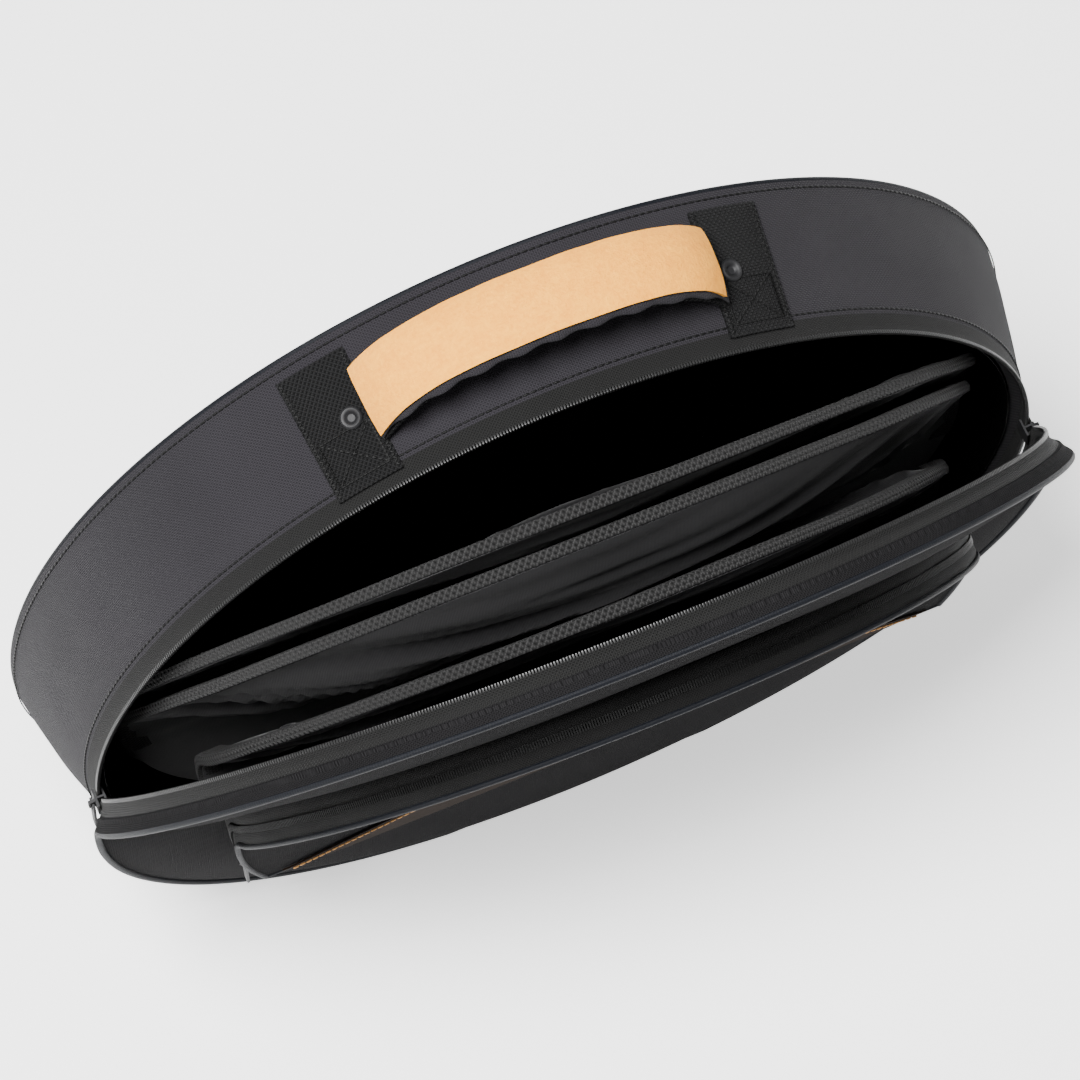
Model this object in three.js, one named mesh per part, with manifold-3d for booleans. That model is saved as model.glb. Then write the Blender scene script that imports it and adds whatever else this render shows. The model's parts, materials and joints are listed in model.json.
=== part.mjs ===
// Soft round cymbal bag, standing on its flattened bottom, lid unzipped and folded forward.
// Millimetres, +Z up, front towards -Y. Origin on the floor under the middle of the gusset.
// The bag is drawn about its zipper plane, y = 0, and the whole group is moved forward at the end.
import * as THREE from 'three';
import Module from 'manifold-3d';
import { mergeVertices } from 'three/addons/utils/BufferGeometryUtils.js';

const wasm = await Module();
wasm.setup();

// ---- driving dimensions ------------------------------------------------------------------
const zipRadius = 290;        // outer radius of the gusset at the zipper
const backFlare = 19;         // how much wider the back rim is
const frontFlare = 10;        // how much wider the front rim is
const gussetDepth = 88;       // zipper plane to back panel
const lipDepth = 18;          // zipper plane to front panel, at the fold
const lipDepthBottom = 8;     // the same at the floor, where the empty front falls back
const flatDepth = 7;          // width either side of the zipper that stays at zipRadius
const sag = 0.85;             // height of the slack lower half against a true half circle
const standSink = 2.5;        // how much of the outline at the zipper the floor flattens
const foldHeight = 17;        // fold of the front panel above the disc centre
const openAngle = 25;         // lid lean, degrees
const domeHeight = 18;        // how far the front panel swells beyond its rim
const domePower = 8;          // the swell is flat in the middle and falls off near the rim
const panelRows = 5;           // facet rows of the domed panels
const coverThick = 1.3;
const foamThick = 6;
const liningThick = 0.9;
const gap = 0.3;              // clearance between sewn layers
const looseGap = 2.2;         // pieces that do not follow each other facet by facet
const tapeWidth = 12;         // zipper tape on the gusset side
const tapeThick = 1;
const coilWidth = 2.2;
const coilThick = 2.4;
const coilSplit = 2.4;        // slot between the two coil rows, room for the slider's post
const pipingSize = 3.2;
const pocketMargin = 72;      // pocket inside the front rim
const pocketDepth = 24;       // depth of the pocket's band
const pocketBulge = 8;
const pocketDrop = 66;        // straight bottom of the pocket below the disc centre
const pocketThick = 1.8;
const flapGap = 8;            // room below the flap for its swing
const dividerThick = 3;
const bindingWidth = 7;
const bindingThick = 4.4;
const handleSpan = 19;        // half the handle's spread round the rim, degrees
const handleWidth = 38;
const handleRise = 24;
const tabGap = 0.06;          // share of the span between the grip and its sewn ends
const handleEnd = 0.87;       // share of the span that swings with the grip
const strapThick = 2;
const padThick = 8;
const sleeveThick = 2.4;
const patchSpread = [18.6, 26];   // handle patch, degrees from the top
const patchDepth = [9, 78];
const rivetRadius = 6;
const rivetAngle = 20.8;          // rivet, degrees from the top
const sliderLength = 13;
const sliderWidth = 11;
const plateThick = 1.2;
const channelHalf = 2;        // half the height between the slider's plates
const bailHeight = 4;
const pullLength = 32;
const pullWidth = 7.2;
const pullThick = 1.4;
const sliderAngle = 177.5;    // parked sliders, degrees round from the right-hand side
const pocketSliderRise = 15;  // pocket slider above the pocket's bottom
const dividers = [
  { name: 'rear', y: 52, margin: 18, lean: 21 },
  { name: 'middle', y: 33, margin: 28, lean: 22 },
  { name: 'front', y: -2, margin: 60, lean: 22.5 },
];

// ---- derived places ----------------------------------------------------------------------
const deg = Math.PI / 180;
const ringSteps = 48;
const backRadius = zipRadius + backFlare;
const frontRadius = zipRadius + frontFlare;
const centreHeight = zipRadius * sag - standSink;
const pocketRadius = frontRadius - pocketMargin;
const wall = coverThick + foamThick + liningThick + 2 * gap;
const coilInner = coilSplit / 2;
const tapeStart = coilInner + coilWidth + gap;
const handleY = (patchDepth[0] + patchDepth[1]) / 2;
const halfOpen = Math.tan(openAngle * deg / 2);
const lidSetback = domeHeight * halfOpen + 2 * gap;
const pocketBase = dome(pocketRadius, 0);
const pocketFront = pocketBase + gap + pocketDepth;
const pocketSetback = (pocketFront + pocketBulge + pocketThick) * halfOpen + 2 * gap;
const foldZ = centreHeight + foldHeight;
const lipSlope = (frontRadius - zipRadius) / (lipDepthBottom / 2);
const seamInset = coverThick * (1 + lipSlope) + gap;              // front cover, clear of the lip
const paddingInset = frontRadius - zipRadius + coilThick;         // front foam, clear of the coils

// ---- materials ---------------------------------------------------------------------------
const material = (color, roughness, metalness = 0) => () =>
  new THREE.MeshStandardMaterial({ color, roughness, metalness });
const canvas = material(0x24242a, 0.85);
const tapeCloth = material(0x1b1d1c, 0.7);
const webbing = material(0x101012, 0.75);
const foam = material(0x3a3a3e, 0.95);
const liningCloth = material(0x2a2a2e, 0.6);
const suede = material(0xd79a5c, 0.95);
const accentSuede = material(0x4a3020, 0.95);
const cord = material(0x15171b, 0.5);
const coilPlastic = material(0x121212, 0.35);
const blackMetal = material(0x18181a, 0.35, 0.9);

// ---- outline and surface formulas ----------------------------------------------------------
/** Point of the bag's outline: a circle above the centre, slack below it and flat on the floor. */
function outline(angle, radius, inset = 0) {
  const r = radius - inset;
  const s = Math.sin(angle);
  const z = centreHeight + r * s * (s < 0 ? sag : 1);
  return [r * Math.cos(angle), Math.max(z, inset)];
}
/** Height range of the outline at one x. */
function column(x, radius, inset = 0) {
  const r = radius - inset;
  const h = Math.sqrt(Math.max(r * r - x * x, 0));
  return [Math.max(centreHeight - sag * h, inset), centreHeight + h];
}
/** Outer radius of the body at depth y, flat by the zipper and flaring to both rims. */
function gussetRadius(y) {
  const flare = Math.max(0, y - flatDepth) / (gussetDepth - flatDepth);
  return zipRadius + (backRadius - zipRadius) * flare;
}
/** Depth of the front rim: full at the fold and above, less towards the floor. */
function rimDepth(z) {
  const fall = Math.max(0, foldZ - z) / foldZ;
  return lipDepth + (lipDepthBottom - lipDepth) * fall;
}
/** Swell of the front panel at x and at height h from the disc centre. */
function dome(x, h) {
  const rho = Math.hypot(x, h < 0 ? h / sag : h) / frontRadius;
  return domeHeight * (1 - Math.min(rho, 1) ** domePower);
}
const lerp = (a, b, t) => a + (b - a) * t;

// ---- mesh builders -------------------------------------------------------------------------
/** Closed solid between two matching grids of points; `closed` joins the first and last column. */
function solidBetween(nu, nv, outer, inner, closed = false) {
  const positions = [];
  const cols = closed ? nu : nu + 1;
  for (const face of [outer, inner]) {
    for (let i = 0; i < cols; i++) {
      for (let j = 0; j <= nv; j++) positions.push(...face(i / nu, j / nv));
    }
  }
  const at = (side, i, j) => (side * cols + (i % cols)) * (nv + 1) + j;
  const index = [];
  const quad = (a, b, c, d) => index.push(a, b, c, a, c, d);
  for (let i = 0; i < nu; i++) {
    for (let j = 0; j < nv; j++) {
      quad(at(0, i, j), at(0, i + 1, j), at(0, i + 1, j + 1), at(0, i, j + 1));
      quad(at(1, i, j), at(1, i, j + 1), at(1, i + 1, j + 1), at(1, i + 1, j));
    }
    quad(at(0, i, 0), at(1, i, 0), at(1, i + 1, 0), at(0, i + 1, 0));
    quad(at(0, i, nv), at(0, i + 1, nv), at(1, i + 1, nv), at(1, i, nv));
  }
  for (let j = 0; j < nv && !closed; j++) {
    quad(at(0, 0, j), at(0, 0, j + 1), at(1, 0, j + 1), at(1, 0, j));
    quad(at(0, nu, j), at(1, nu, j), at(1, nu, j + 1), at(0, nu, j + 1));
  }
  return finished(positions, index);
}
/** BufferGeometry with its faces turned outwards. */
function finished(positions, index) {
  const p = (i) => new THREE.Vector3().fromArray(positions, 3 * index[i]);
  let volume = 0;
  for (let i = 0; i < index.length; i += 3) volume += p(i).dot(p(i + 1).cross(p(i + 2)));
  if (volume < 0) index.reverse();
  const geometry = new THREE.BufferGeometry();
  geometry.setAttribute('position', new THREE.Float32BufferAttribute(positions, 3));
  geometry.setIndex(index);
  geometry.computeVertexNormals();
  return geometry;
}
/** Ring or arc of constant section: radial layer `inset`..`inset + thick`, depth y0..y1. */
function bandSolid(nu, nv, arc, radiusAt, depthAt, inset, thick) {
  const closed = !arc;
  const [from, to] = arc ?? [0, 2 * Math.PI];
  const side = (depth) => (u, v) => {
    const angle = lerp(from, to, u);
    const probe = outline(angle, zipRadius)[1];
    const y = depthAt(v, probe);
    const [x, z] = outline(angle, radiusAt(y, probe), depth);
    return [x, y, z];
  };
  return solidBetween(nu, nv, side(inset), side(inset + thick), closed);
}
/** Panel with the outline's shape between two heights, as two offset surfaces in depth. */
function panelSolid(nu, nv, radius, inset, low, high, half, depthAt, thick) {
  const side = (offset) => (u, v) => {
    const x = -half * Math.cos(u * Math.PI);
    const [bottom, top] = column(x, radius, inset);
    const w = low === null && high === null ? v : high === null ? 1 - (1 - v) ** 1.8 : v ** 1.8;
    const z = lerp(Math.max(low ?? bottom, bottom), Math.min(high ?? top, top), w);
    return [x, depthAt(x, z) + offset, z];
  };
  return solidBetween(nu, nv, side(0), side(thick));
}
/** Half-width of the outline at height z, less a margin that keeps the corner from vanishing. */
function halfWidth(radius, z, margin = 1) {
  const h = Math.max(Math.abs(z - centreHeight), radius * 0.03);
  return Math.sqrt(radius * radius - h * h) - margin;
}
/** Joins two geometries into one solid. */
function union(a, b) {
  const [ma, mb] = [a, b].map((geometry) => {
    const g = geometry.clone();
    g.deleteAttribute('normal');
    g.deleteAttribute('uv');
    const m = mergeVertices(g, 1e-4);
    const mesh = new wasm.Mesh({
      numProp: 3,
      vertProperties: new Float32Array(m.attributes.position.array),
      triVerts: new Uint32Array(m.index.array),
    });
    return new wasm.Manifold(mesh);
  });
  const out = ma.add(mb).getMesh();
  return finished(Array.from(out.vertProperties), Array.from(out.triVerts));
}

// ---- scene groups ----------------------------------------------------------------------------
const bag = new THREE.Group();
const lid = leaning(-lipDepth, foldZ, openAngle);
bag.add(lid.outer);

/** Group turned about an X axis through (y, z); children keep the coordinates of the shut bag. */
function leaning(y, z, angle) {
  const outer = new THREE.Group();
  outer.position.set(0, y, z);
  outer.rotation.x = angle * deg;
  const inner = new THREE.Group();
  inner.position.set(0, -y, -z);
  outer.add(inner);
  return { outer, inner };
}
function add(parent, name, geometry, look) {
  const mesh = new THREE.Mesh(geometry, look());
  mesh.name = name;
  parent.add(mesh);
  return mesh;
}

// ---- gusset and back ---------------------------------------------------------------------------
function buildGusset() {
  const depth = (v) => lerp(tapeWidth + gap, gussetDepth, v);
  const layers = [
    ['gusset_cover', 0, coverThick, canvas],
    ['gusset_foam', coverThick + gap, foamThick, foam],
    ['gusset_lining', coverThick + foamThick + 2 * gap, liningThick, liningCloth],
  ];
  for (const [name, inset, thick, look] of layers) {
    add(bag, name, bandSolid(ringSteps, 1, null, gussetRadius, depth, inset, thick), look);
  }
  const piping = (v) => gussetDepth + gap + pipingSize * v;
  add(bag, 'back_piping', bandSolid(ringSteps, 1, null, () => backRadius, piping, 0, pipingSize), cord);
}
function buildBack() {
  const inset = wall + looseGap;
  const layers = [
    ['back_cover', gussetDepth - coverThick, coverThick, canvas],
    ['back_foam', gussetDepth - coverThick - gap - foamThick, foamThick, foam],
    ['back_lining', gussetDepth - wall, liningThick, liningCloth],
  ];
  for (const [name, y, thick, look] of layers) {
    const radius = gussetRadius(y);
    const half = halfWidth(radius - inset, centreHeight, 0);
    add(bag, name, panelSolid(20, 1, radius, inset, null, null, half, () => y, thick), look);
  }
}

// ---- main zipper -----------------------------------------------------------------------------
const lidArc = (radius, setback) => {
  const start = Math.asin((foldHeight + setback) / radius);
  return [Math.PI - start, start];
};
const lowArc = (radius, setback) => {
  const start = Math.asin((foldHeight - setback) / radius);
  return [Math.PI - start, 2 * Math.PI + start];
};
/** Radius of the front lip at depth y below or above the fold. */
function lipRadius(y, z) {
  const depth = rimDepth(z);
  const flat = Math.min(flatDepth, depth / 2);
  const flare = Math.max(0, -y - flat) / (depth - flat);
  return zipRadius + (frontRadius - zipRadius) * flare;
}
function buildZipper() {
  const flatRing = () => zipRadius;
  const coil = (sign) => (v) => sign * (coilInner + coilWidth * v);
  const coilInset = (tapeThick - coilThick) / 2;
  const tape = (v) => lerp(tapeStart, tapeWidth, v);
  add(bag, 'gusset_tape', bandSolid(ringSteps, 1, null, gussetRadius, tape, 0, tapeThick), tapeCloth);
  add(bag, 'gusset_coil', bandSolid(ringSteps, 1, null, flatRing, coil(1), coilInset, coilThick), coilPlastic);
  const up = lidArc(zipRadius, lidSetback);
  const down = lowArc(zipRadius, lidSetback);
  add(lid.inner, 'lid_coil', bandSolid(26, 1, up, flatRing, coil(-1), coilInset, coilThick), coilPlastic);
  add(bag, 'front_coil', bandSolid(26, 1, down, flatRing, coil(-1), coilInset, coilThick), coilPlastic);
  const lipTape = (v, z) => -lerp(tapeStart, lerp(tapeStart, rimDepth(z), 0.45), v);
  const lipCover = (v, z) => -lerp(lerp(tapeStart, rimDepth(z), 0.45) + gap, rimDepth(z), v);
  for (const [parent, prefix, arc, n] of [[lid.inner, 'lid', up, 26], [bag, 'front', down, 26]]) {
    const cover = bandSolid(n, 2, arc, lipRadius, lipCover, 0, coverThick);
    add(parent, `${prefix}_tape`, bandSolid(n, 1, arc, lipRadius, lipTape, 0, tapeThick), tapeCloth);
    add(parent, `${prefix}_gusset`, cover, canvas);
    const bead = (v, z) => -(rimDepth(z) + gap + pipingSize * v);
    const piping = bandSolid(n, 1, arc, () => frontRadius, bead, 0, pipingSize);
    add(parent, `${prefix}_piping`, piping, cord);
  }
}

// ---- front panel: lid above the fold, lower front below it ----------------------------------
function buildFront() {
  const layers = [
    ['cover', 0, coverThick, canvas, seamInset, 16],
    ['foam', coverThick + looseGap, foamThick, foam, paddingInset, 14],
    ['lining', coverThick + looseGap + foamThick + gap, liningThick, liningCloth, paddingInset, 14],
  ];
  const high = foldZ + lidSetback;
  const low = foldZ - lidSetback;
  for (const [name, offset, thick, look, inset, nu] of layers) {
    const radius = frontRadius - inset;
    const depth = (x, z) => offset - rimDepth(z) - dome(x, z - centreHeight);
    const top = panelSolid(nu, panelRows, frontRadius, inset, high, null, halfWidth(radius, high), depth, thick);
    add(lid.inner, `lid_${name}`, top, look);
    const base = panelSolid(nu, panelRows, frontRadius, inset, null, low, halfWidth(radius, low), depth, thick);
    add(bag, `front_${name}`, base, look);
  }
}

// ---- pocket ------------------------------------------------------------------------------------
const pocketFace = (x, z) => {
  const h = z - centreHeight;
  const rho = Math.min(1, Math.hypot(x, h < 0 ? h / sag : h) / pocketRadius);
  return -rimDepth(z) - pocketFront - pocketBulge * (1 - rho ** 4);
};
/** Band of the pocket over an arc, between two depths measured out from the front rim plane. */
function pocketBand(nu, arc, from, to, inset = 0, thick = pocketThick) {
  const side = (depth) => (u, v) => {
    const [x, z] = outline(lerp(arc[0], arc[1], u), pocketRadius, depth);
    return [x, -rimDepth(z) - lerp(from, to, v), z];
  };
  return solidBetween(nu, 1, side(inset), side(inset + thick));
}
function buildPocketTop(flap) {
  const arc = lidArc(pocketRadius, pocketSetback);
  const flapArc = lidArc(pocketRadius, pocketSetback + flapGap);
  const base = pocketBase + gap;
  const middle = base + pocketDepth / 2;
  const coilFrom = middle - coilInner - coilWidth;
  add(lid.inner, 'pocket_inner_band', pocketBand(24, arc, base, middle - gap), tapeCloth);
  const innerCoil = pocketBand(24, arc, coilFrom, middle - gap, -gap - tapeThick, tapeThick);
  add(lid.inner, 'pocket_inner_coil', innerCoil, coilPlastic);
  add(flap, 'flap_band', pocketBand(24, flapArc, middle + gap, pocketFront - gap), canvas);
  const outerCoil = pocketBand(24, flapArc, middle + gap, middle + coilInner + coilWidth, -gap - tapeThick, tapeThick);
  add(flap, 'flap_coil', outerCoil, coilPlastic);
  const beadFrom = pocketFront - pipingSize;
  const bead = pocketBand(24, flapArc, beadFrom, pocketFront, -gap - pipingSize, pipingSize);
  add(flap, 'flap_piping', bead, cord);
  const low = foldZ + pocketSetback + flapGap;
  const half = halfWidth(pocketRadius, low);
  const front = panelSolid(14, 4, pocketRadius, 0, low, null, half, pocketFace, -pocketThick);
  add(flap, 'flap_front', front, canvas);
}
/** Route of the lower pocket wall: down the left arc, along the straight bottom, up the right arc. */
function pocketRoute(u, depth) {
  const start = Math.asin((foldHeight - pocketSetback) / pocketRadius);
  const corner = Math.asin(pocketDrop / (pocketRadius * sag));
  const [cx] = outline(Math.PI + corner, pocketRadius, depth);
  if (u < 0.3) return outline(lerp(Math.PI - start, Math.PI + corner, u / 0.3), pocketRadius, depth);
  if (u > 0.7) return outline(lerp(-corner, start, (u - 0.7) / 0.3), pocketRadius, depth);
  return [lerp(cx, -cx, (u - 0.3) / 0.4), centreHeight - pocketDrop + depth];
}
function buildPocketBase() {
  const wallSide = (depth) => (u, v) => {
    const [x, z] = pocketRoute(u, depth);
    const from = dome(x, z - centreHeight) + gap;
    return [x, -rimDepth(z) - lerp(from, pocketFront - gap, v), z];
  };
  const wallSolid = solidBetween(30, 1, wallSide(0), wallSide(pocketThick));
  add(bag, 'pocket_wall', wallSolid, canvas);
  const beadSide = (depth) => (u, v) => {
    const [x, z] = pocketRoute(u, depth);
    return [x, -rimDepth(z) - lerp(pocketFront - pipingSize, pocketFront, v), z];
  };
  add(bag, 'pocket_piping', solidBetween(30, 1, beadSide(-gap - pipingSize), beadSide(-gap)), cord);
  const corner = Math.asin(pocketDrop / (pocketRadius * sag));
  const start = Math.asin((foldHeight - pocketSetback) / pocketRadius);
  const middle = pocketBase + gap + pocketDepth / 2;
  const chains = { left: [Math.PI + corner, Math.PI - start], right: [-corner, start] };
  for (const [side, arc] of Object.entries(chains)) {
    const reach = coilInner + coilWidth;
    const chain = pocketBand(8, arc, middle - reach, middle + reach, -gap - tapeThick, tapeThick);
    add(bag, `pocket_chain_${side}`, chain, coilPlastic);
  }
  const low = centreHeight - pocketDrop;
  const high = foldZ - pocketSetback;
  const faceSide = (offset) => (u, v) => {
    const z = lerp(low, high, v);
    const h = (z - centreHeight) / (z < centreHeight ? sag : 1);
    const x = (2 * u - 1) * Math.sqrt(pocketRadius * pocketRadius - h * h);
    return [x, pocketFace(x, z) - offset, z];
  };
  add(bag, 'pocket_front', solidBetween(14, 3, faceSide(0), faceSide(pocketThick)), canvas);
  const accentSide = (offset) => (u, v) => {
    const z = lerp(low + 8, high - 6, v);
    const x = (2 * u - 1) * lerp(0.84, 0.7, v) * pocketRadius;
    return [x, pocketFace(x, z) - pocketThick - looseGap - offset, z];
  };
  add(bag, 'pocket_accent', solidBetween(12, 2, accentSide(0), accentSide(coverThick)), accentSuede);
}

// ---- dividers ------------------------------------------------------------------------------
function buildDivider({ name, y, margin, lean }) {
  const radius = zipRadius - margin;
  const inset = wall + looseGap;
  const turned = leaning(y, foldZ, lean);
  bag.add(turned.outer);
  const setback = dividerThick * Math.tan(lean * deg / 2) + 2 * gap;
  const high = foldZ + setback;
  const low = foldZ - setback;
  const flat = () => y - dividerThick / 2;
  const edge = radius - bindingWidth - looseGap;
  const upper = panelSolid(18, 1, edge, 0, high, null, halfWidth(edge, high), flat, dividerThick);
  add(turned.inner, `divider_${name}_panel`, upper, liningCloth);
  const lower = panelSolid(16, 1, radius, inset, null, low, halfWidth(radius - inset, low), flat, dividerThick);
  add(bag, `divider_${name}_base`, lower, liningCloth);
  const tape = (v) => y + bindingThick * (v - 0.5);
  const arc = lidArc(radius, setback);
  const binding = bandSolid(24, 1, arc, () => radius, tape, 0, bindingWidth);
  add(turned.inner, `divider_${name}_binding`, binding, webbing);
}

// ---- handle ----------------------------------------------------------------------------------
/** Radius of the underside of the handle strap at u = -1..1 along its span and depth y. */
function strapRadius(u, y) {
  const lifted = gussetRadius(handleY) + handleRise;
  return strapThick + 4 * gap + lerp(lifted, gussetRadius(y), u ** 4);
}
function handleLayer(from, to, inset, thick, width, n = 14) {
  const side = (depth) => (s, v) => {
    const u = lerp(from, to, s);
    const angle = (90 - handleSpan * u) * deg;
    const y = handleY + width * (v - 0.5);
    const r = strapRadius(u, y) + depth;
    return [r * Math.cos(angle), y, centreHeight + r * Math.sin(angle)];
  };
  return solidBetween(n, 1, side(inset + thick), side(inset));
}
function buildHandle() {
  const padFrom = strapThick + gap;
  const sleeveFrom = padFrom + padThick + gap;
  const swing = (inset, thick, width) => handleLayer(-handleEnd, handleEnd, inset, thick, width);
  add(bag, 'handle_strap', swing(0, strapThick, handleWidth), webbing);
  add(bag, 'handle_pad', swing(padFrom, padThick, handleWidth - 4), foam);
  add(bag, 'handle_sleeve', swing(sleeveFrom, sleeveThick, handleWidth), suede);
  for (const [side, sign] of [['left', -1], ['right', 1]]) {
    const tab = handleLayer(sign * (handleEnd + tabGap), sign, 0, strapThick, handleWidth, 3);
    add(bag, `strap_end_${side}`, tab, webbing);
    const arc = patchSpread.map((angle) => (90 - sign * angle) * deg);
    const depth = (v) => lerp(patchDepth[0], patchDepth[1], v);
    const patch = bandSolid(6, 3, arc, gussetRadius, depth, -gap * 2 - strapThick, strapThick);
    add(bag, `handle_patch_${side}`, patch, webbing);
    buildRivet(side, (90 - sign * rivetAngle) * deg);
  }
}
function buildRivet(side, angle) {
  const profile = [[0, 0], [rivetRadius, 0], [rivetRadius, 0.9], [rivetRadius - 1.2, 1.6]];
  profile.push([rivetRadius - 2.4, 1.2], [0, 1.2]);
  const cap = new THREE.LatheGeometry(profile.map(([r, h]) => new THREE.Vector2(r, h)), 20);
  cap.rotateX(Math.PI / 2);
  const slope = Math.atan((backRadius - zipRadius) / (gussetDepth - flatDepth));
  cap.rotateX(slope);
  cap.rotateY(Math.PI / 2 - angle);
  const r = gussetRadius(handleY) + strapThick + 5 * gap;
  cap.translate(r * Math.cos(angle), handleY, centreHeight + r * Math.sin(angle));
  add(bag, `rivet_${side}`, closedLathe(cap), blackMetal);
}
/** Lathe or extruded geometry as one closed mesh with shared vertices. */
function closedLathe(geometry) {
  geometry.deleteAttribute('normal');
  geometry.deleteAttribute('uv');
  const merged = mergeVertices(geometry, 1e-4);
  const index = Array.from(merged.index.array);
  const solid = [];
  for (let i = 0; i < index.length; i += 3) {
    const [a, b, c] = index.slice(i, i + 3);
    if (a !== b && b !== c && c !== a) solid.push(a, b, c);
  }
  return finished(Array.from(merged.attributes.position.array), solid);
}

// ---- sliders and pulls -----------------------------------------------------------------------
/** Plates joined by a post between the coils, with a bail on top. Local X is the way it travels. */
function sliderGeometry(withPost) {
  const w = sliderWidth / 2;
  const post = coilInner - 2 * gap;
  const top = channelHalf + plateThick;
  const profile = withPost
    ? [[-w, -top], [w, -top], [w, -channelHalf], [post, -channelHalf], [post, channelHalf],
      [w, channelHalf], [w, top], [-w, top], [-w, channelHalf], [-post, channelHalf],
      [-post, -channelHalf], [-w, -channelHalf]]
    : [[-w, channelHalf], [w, channelHalf], [w, top], [-w, top]];
  const shape = new THREE.Shape(profile.map(([y, z]) => new THREE.Vector2(y, z)));
  const body = new THREE.ExtrudeGeometry(shape, { depth: sliderLength, bevelEnabled: false });
  body.translate(0, 0, -sliderLength / 2);
  body.rotateX(Math.PI / 2);
  body.rotateZ(Math.PI / 2);
  const arch = new THREE.Shape();
  const [legs, foot] = [4.2, top - 0.4];
  arch.moveTo(-legs, foot);
  arch.lineTo(legs, foot);
  arch.lineTo(legs * 0.8, top + bailHeight);
  arch.lineTo(-legs * 0.8, top + bailHeight);
  const hole = new THREE.Path();
  hole.moveTo(-legs + 1.6, top + 0.3);
  hole.lineTo(-legs + 1.6, top + bailHeight - 1.2);
  hole.lineTo(legs - 1.6, top + bailHeight - 1.2);
  hole.lineTo(legs - 1.6, top + 0.3);
  arch.holes.push(hole);
  const bail = new THREE.ExtrudeGeometry(arch, { depth: 2, bevelEnabled: false });
  bail.translate(0, 0, -1);
  bail.rotateX(Math.PI / 2);
  return union(body, bail);
}
/** Flat pull with an eye round the bail; its pivot is the local origin and it points to -X. */
function pullGeometry() {
  const w = pullWidth / 2;
  const shape = new THREE.Shape();
  shape.moveTo(0.7, -w);
  shape.lineTo(0.7, w);
  shape.lineTo(-pullLength + 6, w * 0.72);
  shape.absarc(-pullLength + w * 0.72, 0, w * 0.72, Math.PI / 2, 1.5 * Math.PI, false);
  shape.lineTo(-pullLength + 6, -w * 0.72);
  const eye = new THREE.Path();
  eye.moveTo(-0.7, -w + 1.3);
  eye.lineTo(-8, -w + 1.3);
  eye.lineTo(-8, w - 1.3);
  eye.lineTo(-0.7, w - 1.3);
  shape.holes.push(eye);
  const pull = new THREE.ExtrudeGeometry(shape, { depth: pullThick, bevelEnabled: false, curveSegments: 8 });
  pull.translate(0, 0, -pullThick / 2);
  return pull;
}
/** Group whose X runs up the zipper and Z points out, at one angle of the outline. */
function zipperSeat(x, y, z, normalAngle, mirrored) {
  const seat = new THREE.Group();
  seat.position.set(x, y, z);
  seat.rotation.y = Math.PI / 2 - normalAngle;
  const turn = new THREE.Group();
  turn.rotation.z = mirrored ? Math.PI : 0;
  seat.add(turn);
  return { seat, turn };
}
function buildSliders() {
  const pivot = channelHalf + plateThick + bailHeight / 2 - 0.4;
  for (const [side, angle, mirrored] of [['left', sliderAngle, false], ['right', 180 - sliderAngle, true]]) {
    const r = zipRadius - tapeThick / 2;
    const [x, z] = outline(angle * deg, r);
    const { seat, turn } = zipperSeat(x, 0, z, angle * deg, mirrored);
    bag.add(seat);
    add(turn, `slider_${side}`, sliderGeometry(true), blackMetal);
    add(turn, `pull_${side}`, pullGeometry(), blackMetal).position.z = pivot;
  }
  const angle = Math.PI + Math.asin((pocketDrop - pocketSliderRise) / (pocketRadius * sag));
  const [x, z] = outline(angle, pocketRadius);
  const normal = Math.atan2(Math.sin(angle) / sag, Math.cos(angle));
  const out = gap * 2 + tapeThick - channelHalf;
  const y = -rimDepth(z) - pocketBase - gap - pocketDepth / 2;
  const { seat, turn } = zipperSeat(x + out * Math.cos(normal), y, z + out * Math.sin(normal), normal, false);
  bag.add(seat);
  add(turn, 'slider_pocket', sliderGeometry(false), blackMetal);
  const pull = add(turn, 'pull_pocket', pullGeometry(), blackMetal);
  pull.position.z = pivot;
  pull.rotation.y = normal + Math.PI;
}

buildGusset();
buildBack();
buildZipper();
buildFront();
buildPocketTop(lid.inner);
buildPocketBase();
dividers.forEach(buildDivider);
buildHandle();
buildSliders();

const model = new THREE.Group();
bag.position.y = -gussetDepth / 2;
model.add(bag);

export default model;
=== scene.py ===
"""Looks of a round soft cymbal bag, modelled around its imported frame.

Every piece is drawn in metres in the frame's own axes. The bag is first thought of as zipped shut, and
the lid, the pocket's upper half and the dividers are then folded forward about the frame's hinges.
"""
from __future__ import annotations

import json
import logging
import math
from dataclasses import dataclass
from enum import Enum
from typing import Callable

import bpy
import numpy as np
from mathutils import Matrix, Vector, noise

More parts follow.
